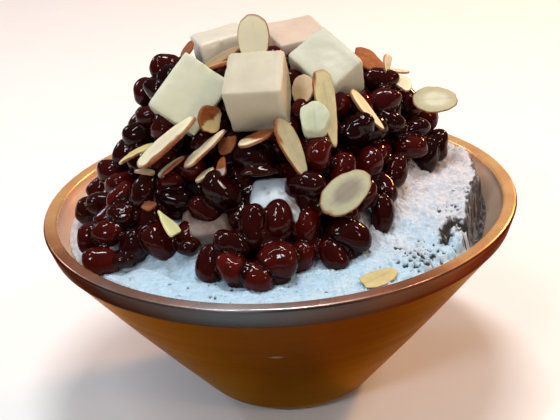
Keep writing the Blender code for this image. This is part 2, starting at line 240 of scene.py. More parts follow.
def tint_and_painted_reflection(tree, where, first, last, stops):
    """Painted reflection: bronze tint at the sides and back, grey steel in front, with a cloudy edge."""
    split = add(tree, "SeparateXYZ", {0: where})
    cloud = add(tree, "TexNoise", {"Vector": where, "Scale": per(33.333), "Detail": 3})
    edge = add(tree, "Math", {0: cloud, 1: TINT_CLOUD, 2: split.outputs[1]}, operation="MULTIPLY_ADD")
    lean = add(tree, "Math", {0: split.outputs[0], 1: TINT_LEAN, 2: edge}, operation="MULTIPLY_ADD")
    front = add(tree, "MapRange", {0: lean, 1: first, 2: last})
    return add(tree, "ValToRGB", {0: front}, stops=stops)


# Polished stainless steel with a bronze tint: mirror-like but for wiping scratches, which are drawn coarse
# enough to show. Its colour is a painted reflection as well: grey in front and bright orange at the back
# right, where the warm lamp shines in it.
lip_finish, tree, shader, where = start_material("lip_polished_steel", metallic=0.5, roughness=0.24)
tint = tint_and_painted_reflection(tree, where, -0.073, 0.015, [
    (0, "#b0aca8"), (0.22, "#926c60"), (0.45, "#9c6040"),
    (0.6, "#d08c5a"), (0.8, "#ffbe7c"), (1, "#ffc07e")])
blotch = add(tree, "TexNoise", {"Vector": where, "Scale": per(11.111), "Detail": 4})
smear = add(tree, "MapRange", {0: blotch, 1: 0.35, 2: 0.7, 3: 0.16, 4: 0.34})
shade = add(tree, "MixRGB", {0: 0.35, 1: tint, 2: blotch}, blend_type="OVERLAY")
scratch = add(tree, "TexNoise", {"Vector": where, "Scale": per(1.4286), "Detail": 2})
relief = add(tree, "Bump", {"Strength": 0.25, "Distance": 0.00008, "Height": scratch})
feed(shader, {"Base Color": shade, "Roughness": smear, "Normal": relief})

# The same steel brushed round the band: its hairlines run level and blur what it reflects into a level
# sheen. They are drawn 0.4 mm apart, coarser than the real grit, so that they show.
band_finish, tree, shader, where = start_material("band_brushed_steel", metallic=1, roughness=0.36,
                                                  specular_tint=linear("#9a8270"))
# Painted reflection: the band is painted grey steel in front and brown at the sides and back.
tint = tint_and_painted_reflection(tree, where, -0.07, -0.02, [
    (0, "#4c4f51"), (0.4, "#4e3e38"), (0.7, "#62402e"), (1, "#784a36")])
level = add(tree, "Mapping", {0: where, 3: (per(52.083), per(52.083), per(0.44643))})
hairline = add(tree, "TexNoise", {"Vector": level, "Scale": 1, "Detail": 3})
streak = add(tree, "MapRange", {0: hairline, 1: 0.3, 2: 0.7, 3: 0.28, 4: 0.5})
shade = add(tree, "MixRGB", {0: 0.4, 1: tint, 2: hairline}, blend_type="OVERLAY")
relief = add(tree, "Bump", {"Strength": 0.3, "Distance": 0.0001, "Height": hairline})
feed(shader, {"Base Color": shade, "Roughness": streak, "Normal": relief})

# The inner wall is left from the spinning, with faint level tool lines and a smear of melted milk, which
# gives a soft, cloudy tan. The tan is painted lighter on the left, where light falls on the wall: painted
# light.
wall_finish, tree, shader, where = start_material("wall_satin_steel", metallic=0.15, roughness=0.4)
split = add(tree, "SeparateXYZ", {0: where})
# Painted light: the wall is a lighter tan on the left than on the right.
side = add(tree, "MapRange", {0: split.outputs[0], 1: -0.08, 2: 0.08})
tint = add(tree, "ValToRGB", {0: side}, stops=[(0, "#f6c09a"), (0.5, "#d0aa8a"), (1, "#bca08a")])
smear = add(tree, "TexNoise", {"Vector": where, "Scale": per(16.667), "Detail": 5})
shade = add(tree, "MixRGB", {0: 0.45, 1: tint, 2: smear}, blend_type="OVERLAY")
level = add(tree, "Mapping", {0: where, 3: (per(200), per(200), per(1.1111))})
tool_line = add(tree, "TexNoise", {"Vector": level, "Scale": 1, "Detail": 2})
relief = add(tree, "Bump", {"Strength": 0.35, "Distance": 0.0002, "Height": tool_line})
feed(shader, {"Base Color": shade, "Normal": relief})

liner_sheet = spin("liner", *liner_profile())
put("bowl_liner_spun", liner_sheet, "lip_steel", (wall_finish, lip_finish, band_finish), "bowl_liner")

# ---- Bowl body ----
# The outer wall is a second spun sheet, closed at the bottom by the foot and pressed up under the band.
# It is coated in a bronze lacquer over satin steel; its amber at the left and wine-brown at the right are
# painted reflection.

BODY_RADIUS = 82.4
BODY_FOOT = 29.8          # where the straight side would meet the table
BODY_BULGE = 0.5
BODY_STEPS = 12
HIDDEN_STEPS = 4
FOOT_CORNER = 15
RECESS_RADIUS = 17
RECESS_DEPTH = 1
GAP = 0.3
# Place and shape of a painted highlight on the front of the body.
HIGHLIGHT_PLACE = (-0.0046, -0.0666, 0.047)
HIGHLIGHT_SHAPE = (1, 0.3, 3.6)    # it is this much shorter in depth and height than it is long


def body_profile():
    """The foot's recess, the rounded foot and the side, then back down inside the sheet."""
    top = RIM_HEIGHT - BAND_HEIGHT - GAP
    side = Vector((BODY_RADIUS - BODY_FOOT, top)).normalized()
    inward = Vector((-side.y, side.x))
    reach = BODY_FOOT + FOOT_CORNER * (1 - inward.y) / inward.x
    tilt = math.degrees(math.atan2(-inward.y, -inward.x))
    corner = arc((reach, FOOT_CORNER), FOOT_CORNER, -90, tilt, BODY_STEPS)
    hidden = arc((reach, FOOT_CORNER), FOOT_CORNER - SHEET, -90, tilt, HIDDEN_STEPS)
    rise = []
    for k in range(1, BODY_STEPS + 1):
        share = k / BODY_STEPS
        rise.append(Vector(corner[-1]).lerp(Vector((BODY_RADIUS, top)), share)
                    - inward * BODY_BULGE * math.sin(math.pi * share))
    inner_rise = [point + inward * SHEET for point in rise[:-1]]
    inner_rise += [Vector((BODY_RADIUS - SHEET / side.y, top))]
    points = [(0, RECESS_DEPTH), (RECESS_RADIUS - RECESS_DEPTH, RECESS_DEPTH), (RECESS_RADIUS, 0)]
    points += corner + [tuple(point) for point in rise + inner_rise[::-1]]
    points += hidden[::-1] + [(RECESS_RADIUS, SHEET)]
    return points + [(RECESS_RADIUS - RECESS_DEPTH, SHEET + RECESS_DEPTH), (0, SHEET + RECESS_DEPTH)]


# Bronze lacquer on satin steel, with faint level wipe marks from the spraying. Its warm metal tone is a
# painted reflection that deepens from left to right and turns tan at the foot.
body_finish, tree, shader, where = start_material("body_bronze_lacquer", metallic=1.0, roughness=0.3,
                                                  specular_tint=linear("#ffce94"))
split = add(tree, "SeparateXYZ", {0: where})
side = add(tree, "MapRange", {0: split.outputs[0], 1: -0.06, 2: 0.06})
tint = add(tree, "ValToRGB", {0: side},
           stops=[(0, "#804630"), (0.35, "#6c4032"), (0.5, "#603932"),
                  (0.63, "#522a28"), (0.78, "#4e2021"), (1, "#561c1a")])
# Painted reflection: the body turns tan towards the foot.
low = add(tree, "MapRange", {0: split.outputs[2], 1: 0.0, 2: 0.035})
foot = add(tree, "MixRGB", {0: low, 1: linear("#8a6440"), 2: tint})
cloud = add(tree, "TexNoise", {"Vector": where, "Scale": per(35.714), "Detail": 4})
shade = add(tree, "MixRGB", {0: 0.3, 1: foot, 2: cloud}, blend_type="OVERLAY")
level = add(tree, "Mapping", {0: where, 3: (per(104.17), per(104.17), per(3.2051))})
wipe = add(tree, "TexNoise", {"Vector": level, "Scale": 1, "Detail": 3})
gloss = add(tree, "MapRange", {0: wipe, 1: 0.3, 2: 0.7, 3: 0.27, 4: 0.36})
relief = add(tree, "Bump", {"Strength": 0.08, "Distance": 0.0002, "Height": wipe})
# A painted highlight in front: a level pale oval, 5 mm long.
offset = add(tree, "VectorMath", {0: where, 1: HIGHLIGHT_PLACE}, operation="SUBTRACT")
flat = add(tree, "VectorMath", {0: offset, 1: HIGHLIGHT_SHAPE}, operation="MULTIPLY")
far = add(tree, "VectorMath", {0: flat}, operation="LENGTH")
painted_highlight = add(tree, "MapRange", {0: far.outputs["Value"], 1: 0.0012, 2: 0.003, 3: 0.55, 4: 0})
shade = add(tree, "MixRGB", {0: painted_highlight, 1: shade, 2: linear("#b4aca4")})
feed(shader, {"Base Color": shade, "Roughness": gloss, "Normal": relief})

put("bowl_body_spun", spin("body", body_profile()), "body_bronze", (body_finish,), "bowl_body")

# ---- Shaved milk ice ----
# Frozen milk shaved into fine ribbons and piled into the bowl. It is heaped in the middle, stands away
# from the wall on the right, and is full of small holes where the ribbons bridge.

ICE_CENTRE = (-8, 10)
ICE_RADIUS = 66
ICE_TOP = 26
# Round the mound's foot: its height there, the height at which it meets the wall, and how wide it slopes.
ICE_EDGE = {0: 4, 35: 3, 90: -6, 145: 1, 180: -4.5, 225: -4.5, 270: -4, 315: -2}
ICE_WALL = {0: -9, 15: -8, 35: -10, 90: -11, 145: -6, 180: -7, 225: -7, 270: -5, 318: -6, 332: -10, 345: -11}
ICE_DROP = {0: 3, 30: 3.4, 60: 4, 90: 4, 180: 3, 225: 3, 270: 2.5, 300: 3, 322: 3.2, 332: 3.6, 340: 4.6,
            348: 4.8, 354: 3.8}
ICE_CLIFF = 2.4           # the edge falls to the wall's level within this width
ICE_SECTORS = 980
ICE_FINE_SECTORS = 660    # how many of them share the front and right, where the ice is bare
ICE_FINE_START, ICE_FINE_SPAN = 225, 160
ICE_FINE_FROM = 0.52      # share of the radius outside which the grid is fine, as the rest lies under beans
ICE_CELL = 0.5
ICE_COARSE_FROM, ICE_COARSE_RINGS = 0.08, 9
# The broken surface: size of the features, how far they rise, and a seed.
ICE_LUMPS = [(9, 1.1, 0), (4.5, 0.7, 9), (0.75, 0.4, 7)]
ICE_RIBBONS = [((3.4, 1.1, 2), 1.3, 3), ((1, 2.6, 2), 0.8, 5)]
ICE_SINK = 0.45           # the ribbons are drawn down this much, so that the mean height stays
ICE_RAGGED = [(3, 0.016, 17), (1.5, 0.006, 19)]    # the edge wanders by these shares of its radius
# How broken the left side is, how much more the right, and where that starts and how far it takes.
ICE_CALM, ICE_BROKEN, ICE_BREAK_AT, ICE_BREAK_OVER = 0.65, 0.75, 5, 45
# Clusters of holes: place, how far they spread, how many, and their largest radius.
ICE_HOLES = [
    ((44.5, -56.5), 4, 26, 1.7), ((44, -55), 7, 90, 1.1), ((41, -50), 4, 12, 0.9), ((49, -50), 6, 30, 0.8),
    ((57.5, -41.5), 4, 9, 1.1), ((55, -45), 6, 12, 0.7), ((60, -22), 5, 20, 0.85), ((59, -27), 4, 8, 0.7),
    ((50, -40), 10, 20, 0.5), ((34, -44), 7, 9, 0.55), ((66, -12), 6, 10, 0.6), ((40, -60), 6, 9, 0.7),
    ((-33, -61), 9, 15, 0.6), ((-20, -64), 10, 20, 0.6), ((-47, -50), 8, 11, 0.6), ((-4, -67), 10, 16, 0.55),
    ((10, -69), 9, 12, 0.5), ((24, -62), 10, 12, 0.5), ((60, 30), 14, 16, 0.9), ((-20, 66), 24, 18, 0.9),
    ((30, 58), 18, 14, 0.9), ((-66, 22), 10, 8, 0.9)]
HOLE_DEPTH = 2.4          # of a hole, for each mm of its radius
HOLE_SIZE = (0.4, 1)      # smallest and largest, as a share of its cluster's largest
HOLE_STRETCH = (0.55, 1)
HOLE_APART = 1.15         # least distance between two, as a share of their two radii
HOLE_LIP = 1.2            # a hole starts to sink this far out, as a share of its radius
HOLE_STEEP = 2.6
HOLE_WARP = 0.5           # how far its outline is drawn out of round, in mm
HOLE_SEED = 31
# The open arch where the ribbons have sunk, followed from end to end.
ICE_GROOVE = [(53.6, -43.9), (54.6, -39), (56, -35), (58, -32.6), (60, -32), (61.2, -34.6), (60.4, -37.6)]
GROOVE_WIDTH = 3
GROOVE_DEPTH = 3
ICE_GREY_EDGE = (-34, 16)    # where the broken edge is grey with shadow and melt: from and to in degrees
MELT_DEPTH = 1.2


def smoothstep(t):
    """0 below 0, 1 above 1, with a soft start and end."""
    t = np.clip(t, 0, 1)
    return t * t * (3 - 2 * t)


def around(knots, direction):
    """Values given at a few directions, read anywhere round the circle along a smooth closed curve."""
    stops = np.array(sorted(knots), float)
    values = np.array([knots[stop] for stop in sorted(knots)], float)
    place = np.concatenate((stops[-2:] - 360, stops, stops[:3] + 360))
    value = np.concatenate((values[-2:], values, values[:3]))
    direction = np.mod(direction, 360)
    i = np.searchsorted(place, direction, side="right") - 1
    width = place[i + 1] - place[i]
    t = (direction - place[i]) / width
    leave = (value[i + 1] - value[i - 1]) / (place[i + 1] - place[i - 1]) * width
    arrive = (value[i + 2] - value[i]) / (place[i + 2] - place[i]) * width
    return ((2 * t**3 - 3 * t**2 + 1) * value[i] + (t**3 - 2 * t**2 + t) * leave
            + (3 * t**2 - 2 * t**3) * value[i + 1] + (t**3 - t**2) * arrive)


def inner_wall(height):
    """Inside radius of the bowl at a height measured from the rim."""
    return RIM_RADIUS - LIP_WIDTH - np.maximum(0, -STRAIGHT_DEPTH - height) * WALL_SLOPE


def ice_height(x, y):
    """Top of the ice above the rim: a mound, and a broken edge that drops to the wall."""
    direction = np.degrees(np.arctan2(y, x))
    foot = around(ICE_EDGE, direction)
    wall = around(ICE_WALL, direction)
    drop = around(ICE_DROP, direction)
    start = inner_wall(wall) - GAP - drop
    t = np.hypot(x - ICE_CENTRE[0], y - ICE_CENTRE[1]) / ICE_RADIUS
    mound = foot + (ICE_TOP - foot) * np.maximum(0, 1 - t * t)**1.2
    return mound + (wall - mound) * smoothstep((np.hypot(x, y) - start) / np.minimum(drop, ICE_CLIFF))


def noise_at(points, size, seed):
    """Smooth noise from -1 to 1 at many points, with features about one size across."""
    shift = Vector((seed, seed * 1.7, seed * 2.3))
    return np.array([noise.noise(Vector(p) + shift) for p in points / np.array(size)])


def paint(mesh, name, values):
    """Keep one number for each vertex, which a material reads by name."""
    attribute = mesh.attributes.new(name, "FLOAT", "POINT")
    attribute.data.foreach_set("value", np.asarray(values, np.float32))


def make_ice():
    """The mound with its ribbons, holes and broken edge, with painted shade in the holes and on the edge."""
    rest = ICE_SECTORS - ICE_FINE_SECTORS
    directions = ICE_FINE_START + np.concatenate((
        np.arange(ICE_FINE_SECTORS) * ICE_FINE_SPAN / ICE_FINE_SECTORS,
        ICE_FINE_SPAN + np.arange(rest) * (360 - ICE_FINE_SPAN) / rest))
    reach = inner_wall(around(ICE_WALL, directions)) - GAP
    fine = int((1 - ICE_FINE_FROM) * reach.mean() / ICE_CELL)
    shares = np.concatenate((np.linspace(ICE_COARSE_FROM, ICE_FINE_FROM, ICE_COARSE_RINGS),
                             np.linspace(ICE_FINE_FROM, 1, fine)[1:]))
    angles = np.radians(directions)
    x = (shares[:, None] * reach * np.cos(angles)).ravel()
    y = (shares[:, None] * reach * np.sin(angles)).ravel()
    share = np.repeat(shares, ICE_SECTORS)
    flat = np.column_stack((x, y, ice_height(x, y)))
    ragged = sum((noise_at(flat, size, seed) * wander for size, wander, seed in ICE_RAGGED), 1)
    height = ice_height(x * ragged, y * ragged)
    coarse = ICE_CALM + ICE_BROKEN * smoothstep((x - ICE_BREAK_AT) / ICE_BREAK_OVER)
    inside = smoothstep((share - ICE_FINE_FROM) / 0.05) * smoothstep((1 - share) / 0.012)
    rough = sum(noise_at(flat, size, seed) * rise for size, rise, seed in ICE_LUMPS)
    rough = rough + sum(np.abs(noise_at(flat, size, seed)) * rise for size, rise, seed in ICE_RIBBONS)
    height = height + inside * coarse * (rough - ICE_SINK)

    draw = np.random.default_rng(HOLE_SEED)
    hole = np.zeros(len(x))
    made = []
    warped_x = x + noise_at(flat, 1.5, 21) * HOLE_WARP
    warped_y = y + noise_at(flat, 1.5, 23) * HOLE_WARP
    for (cx, cy), spread, count, largest in ICE_HOLES:
        for _ in range(count):
            place = np.array((cx, cy)) + draw.normal(size=2) * spread / 2
            size = largest * draw.uniform(*HOLE_SIZE)
            stretch = draw.uniform(*HOLE_STRETCH)
            turn = draw.uniform(0, np.pi)
            if any(np.hypot(*(place - other)) < (size + wide) * HOLE_APART for other, wide in made):
                continue
            made.append((place, size))
            off_x, off_y = warped_x - place[0], warped_y - place[1]
            u = off_x * np.cos(turn) + off_y * np.sin(turn)
            v = off_y * np.cos(turn) - off_x * np.sin(turn)
            inward = HOLE_LIP - np.hypot(u, v / stretch) / size
            hole = np.maximum(hole, HOLE_DEPTH * size * smoothstep(HOLE_STEEP * inward))
    blocked = noise_at(flat, 2.2, 25)
    (cx, cy), *_ = ICE_HOLES[0]
    # Painted shade: grey round the first cluster of holes, and further on along the groove.
    murk = smoothstep(1.4 - np.hypot(warped_x - cx, warped_y - cy) / 5)
    for (ax, ay), (bx, by) in zip(ICE_GROOVE, ICE_GROOVE[1:]):
        along = (warped_x - ax) * (bx - ax) + (warped_y - ay) * (by - ay)
        along = np.clip(along / ((bx - ax)**2 + (by - ay)**2), 0, 1)
        off = np.hypot(warped_x - ax - along * (bx - ax), warped_y - ay - along * (by - ay))
        off = off / (GROOVE_WIDTH / 2 * (1 - 0.5 * blocked))
        hole = np.maximum(hole, GROOVE_DEPTH * smoothstep(1.3 - off) * (blocked < 0.6))
        murk = np.maximum(murk, smoothstep(1.5 - off * 0.5))
    height = height - hole * inside
    murk = murk * np.clip(0.5 + noise_at(flat, 1.2, 27) * 1.3, 0, 0.85)
    turned = (np.degrees(np.arctan2(y, x)) + 180) % 360 - 180
    grey = smoothstep((turned - ICE_GREY_EDGE[0]) / 6) * smoothstep((ICE_GREY_EDGE[1] - turned) / 8)
    edge = np.hypot(x, y) - np.tile(reach - around(ICE_DROP, directions), len(shares))
    grey = grey * smoothstep((edge + 1.5 + noise_at(flat, 2.2, 11) * 1.6) / 0.9)
    height = height - grey * np.abs(noise_at(flat, 1.6, 13)) * MELT_DEPTH * (share < 0.998)

    rings = [*np.column_stack((x, y, height + RIM_HEIGHT)).reshape(len(shares), ICE_SECTORS, 3)]
    for radius, level in inner_corner(-GAP)[::-1]:
        rings.append(np.column_stack((radius * np.cos(angles), radius * np.sin(angles),
                                      np.full(ICE_SECTORS, level))))
    top = (0, 0, RIM_HEIGHT + float(ice_height(0.0, 0.0)))
    mesh = closed_mesh("milk_ice", rings, top, (0, 0, INNER_FLOOR + GAP))
    # Painted shade for the material: the holes, the grey round them and the grey broken edge.
    painted_hole_shade = np.maximum(np.maximum(hole, murk) * inside, grey * (0.85 + noise_at(flat, 1.4, 29) * 0.4))
    paint(mesh, "hole", np.append(painted_hole_shade, np.zeros(len(mesh.vertices) - len(painted_hole_shade))))
    return mesh


# Milk ice is packed snow: rough, bright, and lit through. Its colour is painted light, blue-white in front
# and warmer towards the back, and painted shade makes it grey in the holes and at the broken edge.
ice_finish, tree, shader, where = start_material("milk_ice_shaved", roughness=0.55, ior=1.31,
                                                 subsurface_weight=0.35, subsurface_radius=(0.9, 1, 1.1),
                                                 subsurface_scale=0.002)
split = add(tree, "SeparateXYZ", {0: where})
patch = add(tree, "TexNoise", {"Vector": where, "Scale": per(18.182), "Detail": 3})
# Painted light: the tint runs from blue-white in front to warmer towards the back.
shift = add(tree, "Math", {0: patch, 1: 0.09, 2: split.outputs[1]}, operation="MULTIPLY_ADD")
dry = add(tree, "MapRange", {0: shift, 1: -0.02, 2: 0.05}, interpolation_type="SMOOTHSTEP")
tint = add(tree, "ValToRGB", {0: dry}, stops=[(0, "#b8d4e6"), (0.55, "#cdd4dd"), (1, "#d8d0d2")])
strand = add(tree, "Mapping", {0: where, 3: (1, 3, 1)})
ribbon = add(tree, "TexNoise", {"Vector": strand, "Scale": per(2.381), "Detail": 4, "Distortion": 0.6})
vein = add(tree, "MapRange", {0: ribbon, 1: 0.34, 2: 0.6, 3: 0.84, 4: 1})
veined = add(tree, "MixRGB", {0: 1, 1: tint, 2: vein}, blend_type="MULTIPLY")
hole = add(tree, "Attribute", attribute_name="hole")
shadow = add(tree, "MapRange", {0: hole.outputs["Fac"], 1: 0.1, 2: 1.0}, interpolation_type="SMOOTHSTEP")
colour = add(tree, "MixRGB", {0: shadow, 1: veined, 2: linear("#403a37")})
relief = add(tree, "Bump", {"Strength": 0.85, "Distance": 0.0004, "Height": ribbon})
feed(shader, {"Base Color": colour, "Normal": relief})

put("milk_ice_mound", make_ice(), "milk_ice", (ice_finish,), "shaved_ice")

# ---- Red beans ----
# Adzuki beans simmered whole in sugar syrup and ladled over the ice. Each keeps its skin, and they stick
# together in a heap that is steep on the left and spills forward in three tongues.

HEAP_CENTRE = np.array((-4.0, 10.0))
HEAP_TOP = 50
# Round the heap: how far it reaches, how high its edge stands, and how its top rounds off and falls away.
HEAP_RADIUS = {0: 67, 30: 64, 60: 59, 90: 57, 120: 59, 150: 62, 180: 66, 200: 69, 220: 75, 235: 65, 247: 62,
               256: 71, 268: 74, 280: 64, 290: 67, 305: 60, 320: 56, 338: 53, 350: 60}
HEAP_EDGE = {0: 10, 30: 12, 60: 10, 90: 8, 135: 8, 180: 3, 235: 4, 275: 5, 290: 6, 325: 10, 345: 12}
HEAP_SHOULDER = {0: 2.6, 45: 2.6, 90: 3, 120: 4, 150: 5, 180: 5, 225: 2.6, 270: 2, 315: 2.6}
HEAP_FALL = {0: 0.65, 45: 0.7, 90: 1, 120: 1.6, 150: 2.6, 180: 2.8, 200: 2.4, 225: 1.45, 270: 1.15,
             315: 0.85}
HEAP_SECTORS = 96
HEAP_RINGS = 34
HEAP_FIRST_RING = 0.04
HEAP_CROWD = 0.8          # below 1, the rings crowd towards the edge
HEAP_SKIRT = (0.35, 0.7, 1.0)    # rings down the edge, as shares of the way into the ice
HEAP_SUNK = 2             # how deep the edge ends in the ice
HEAP_FOOT = -6
# Beans laid one by one: centre, heading and climb of the long axis, length and width.
LAID_BEANS = [
    (-60, -41, -2.5, -5, -8, 13, 10), (-69, -5, 1, 30, 50, 10, 9.5), (-62, -10, 5, -5, -15, 12, 9.5),
    (-53, -29, 9, 5, 15, 11, 10), (-59, 0, 13, -10, -15, 12, 10), (-66, 12, 2, 15, 30, 10, 9),
    (-58, -32, 5, 10, 20, 12, 10), (-65, -30, 2, 70, 65, 12, 9), (-49, -38, 2, 40, 55, 12, 10.5),
    (-41, -39, 3, -25, -45, 13.5, 10.5), (-43, -33, 9, 60, 65, 10.5, 9), (-45, -27, 16, 35, 55, 13, 10),
    (-34, -30, 14, -10, -15, 12.5, 10), (-36, -27, 19, 0, 5, 10.5, 9), (-19, -37, 19, -20, -35, 14, 11.5),
    (-24, -36, 12, -15, -30, 12, 9.5), (-9, -49, 11, 70, 65, 14, 10), (-1, -48, 12, 75, 65, 13.5, 9.5),
    (8, -46, 8, 55, 60, 13.5, 9.5), (-24, -53, 0, 60, 65, 13, 9.5), (-15, -59, 1, -10, -20, 12.5, 9.5),
    (-9, -61, -1, -15, -25, 12, 9.5), (-2, -58, 2, 5, 10, 13.5, 12), (6, -52, 0, 30, 50, 10.5, 9),
    (22, -47, 4, -5, -15, 15.5, 10.5), (16, -50, 0, -30, -50, 12.5, 10), (9, -41, 20, 0, -5, 13.5, 10),
    (34.5, -33, 4.5, 80, 70, 14.5, 8.5), (41, -15, 12, 50, 60, 12, 9), (48, -2, 16, 0, 5, 13.5, 9.5),
    (55, 3, 10, 50, 60, 13, 8.5), (50, 3, 20, 10, 20, 12, 9), (-7, -32, 28, -5, -10, 14, 10.5),
    (0, -27, 29, 10, 25, 10, 9), (-47, -3, 28, 10, 25, 12, 10.5), (-37, -13, 34, 30, 50, 11, 10),
    (-42, -4, 35, 5, 15, 11, 9), (-46, 17, 37, 30, 50, 10.5, 9.5), (-38, 22, 45, 10, 10, 12, 9),
    (39, 1, 32, 5, 10, 13, 10), (28, -18, 30, 15, 30, 12, 10), (39, 10, 38, 0, 0, 13, 8.5),
    (22, -12, 37, 10, 25, 11, 9), (10, -17, 38, 5, 15, 10, 8), (41, -2, 26, -15, -30, 11.5, 9.5),
    (22, -32, 21, 60, 65, 11.5, 9), (14, -32, 28, 60, 65, 12, 9.5), (59, 7, 12, 60, 65, 12, 8.5),
    (31, -24, 19, 40, 55, 12, 9), (-29, -38, 5, 5, 15, 12, 9.5), (-16, -52, 7, -5, -15, 12, 9.5),
    (-39, -21, 25, 5, 15, 11, 9), (-29, -25, 23, -15, -30, 11, 9), (-53, -1, 21, 10, 25, 10.5, 9.5),
    (28, -33, 12, 30, 50, 12, 9), (-54, -22, 13, 25, 40, 11, 9), (21, -42, 11, -40, -55, 12, 9),
]
# Places kept open, so that the two low rice cakes show: centre and radius.
OPEN_SPOTS = [((-5, -41, 19), 9.5), ((-19, -46, 6), 8)]
BEAN_DEPTH = 4.6          # centres of the top beans under the heap's outline
BEAN_SPACING = 9.8
BEAN_TRIES = 9000
UNDER_DEPTH = 11
UNDER_SPACING = 10
UNDER_TRIES = 5000
RELAX_STEPS = 110
SQUEEZE = 0.93            # cooked beans press into each other by this much
BEAN_SWELL = 1.06
LAID_HOLD = 0.85          # how firmly the laid beans keep their places
# Shares of the way that a bean is moved in one step: off its neighbours, off what is solid, to its depth.
BEAN_PUSH, SOLID_PUSH, OUTLINE_PULL = 0.35, 0.6, 0.3
STEP_LIMIT = 2
ROD_EXTRA = 0.6           # a bean is blunt, so its end balls lie this much further out
OVERHANG = -0.3           # faces that lean over more than this get no beans
ICE_CLEAR = 1.5           # thrown beans lie at least this high above the ice
TILT_SPREAD, DEPTH_SPREAD = 0.3, 0.7    # how unevenly the thrown beans lie
ICE_STANDOFF = 0.72       # a bean sinks into the ice until this share of its radius is left under its middle
BEAN_LONG = (13.4, 1, 11, 15.6)      # length: mean, spread, least and most
BEAN_WIDE = (0.74, 0.04, 8.6, 11)    # width as a share of length: mean and spread, then least and most in mm
# From least to most: how blunt the ends are, how flat the sides, how deep the dip, how bent, how wavy the
# skin, how many dents and how deep. All but the count are shares of the bean's size.
BEAN_BLUNT, BEAN_FLAT, BEAN_DIP, BEAN_BEND = (0.1, 0.26), (0.84, 1), (0.06, 0.2), (0.01, 0.11)
BEAN_WAVE, BEAN_DENTS, DENT_DEPTH = (0.008, 0.026), (2, 6), (0.03, 0.1)
BEAN_TAPER = 0.07
CREASE_DEPTH = 0.018
NEIGHBOUR = 17            # centres further apart than this can't touch
OVERLAP_LIMIT, OVERLAP_SHARE = 1.6, 0.5    # a bean gives way for this share of an overlap up to the limit
POOL_REACH = 0.8          # how far from the next bean the dark syrup and painted shade between two beans fade
FAR_AWAY = 9.0            # distance that counts as no neighbour at all
# The beans that hang lowest in front, right of X = -30, are a little redder.
RIPE_TONE, RIPE_FRONT, RIPE_FADE, RIPE_LEFT = 0.15, 44, 8, -30
SHAPE_SEED, SCATTER_SEED = 500, 12
BEAN_RINGS, UNDER_RINGS = (20, 32), (10, 16)


def heap_height(x, y):
    """Top of the heap above the rim at a place inside its outline."""
    dx, dy = x - HEAP_CENTRE[0], y - HEAP_CENTRE[1]
    direction = np.degrees(np.arctan2(dy, dx))
    t = np.minimum(1, np.hypot(dx, dy) / around(HEAP_RADIUS, direction))
    edge = around(HEAP_EDGE, direction)
    rise = (1 - t**around(HEAP_SHOULDER, direction))**around(HEAP_FALL, direction)
    return edge + (HEAP_TOP - edge) * rise


def heap_rings(shrink=0.0, lower=0.0):
    """Rings of points over the heap and down its edge to the ice, drawn in and lowered where asked."""
    directions = np.arange(HEAP_SECTORS) * 360 / HEAP_SECTORS
    spokes = np.column_stack((np.cos(np.radians(directions)), np.sin(np.radians(directions))))
    full = around(HEAP_RADIUS, directions)[:, None]
    rings = []
    for share in np.linspace(HEAP_FIRST_RING, 1, HEAP_RINGS) ** HEAP_CROWD:
        wide = HEAP_CENTRE + full * share * spokes
        drawn = HEAP_CENTRE + (full - shrink) * share * spokes
        rings.append(np.column_stack((drawn, heap_height(*wide.T) - lower)))
    edge, brim = rings[-1][:, :2], rings[-1][:, 2]
    ground = ice_height(*edge.T) - HEAP_SUNK
    for share in HEAP_SKIRT:
        level = brim * (1 - share) + ground * share
        rings.append(np.column_stack((edge, np.minimum(level, rings[-1][:, 2]))))
    return rings


def heap_surface():
    """The heap's outline as a search tree, with the corners and the normal of each face."""
    top = (*HEAP_CENTRE, float(heap_height(*HEAP_CENTRE)))
    mesh = closed_mesh("outline", heap_rings(), top, (*HEAP_CENTRE, HEAP_FOOT))
    points = np.array([v.co for v in mesh.vertices]) / MM
    faces = [tuple(p.vertices) for p in mesh.polygons]
    tree = BVHTree.FromPolygons([tuple(p) for p in points], faces)
    corners = [(points[list(f)], np.array(mesh.polygons[i].normal)) for i, f in enumerate(faces)]
    bpy.data.meshes.remove(mesh)
    return tree, corners


def node_tree(names):
    """A search tree, in millimetres from the rim, over the shapes of several CAD nodes."""
    points, faces = [], []
    for name in names:
        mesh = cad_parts[name].data
        start = len(points)
        points += [v.co / MM - Vector((0, 0, RIM_HEIGHT)) for v in mesh.vertices]
        faces += [tuple(start + i for i in p.vertices) for p in mesh.polygons]
    return BVHTree.FromPolygons(points, faces)


def unit(vectors):
    """Vectors brought to a length of 1."""
    return vectors / np.linalg.norm(vectors, axis=-1, keepdims=True)


def axis_of(heading, climb):
    """A unit direction from its heading and its climb in degrees."""
    h, c = math.radians(heading), math.radians(climb)
    return np.array([math.cos(h) * math.cos(c), math.sin(h) * math.cos(c), math.sin(c)])


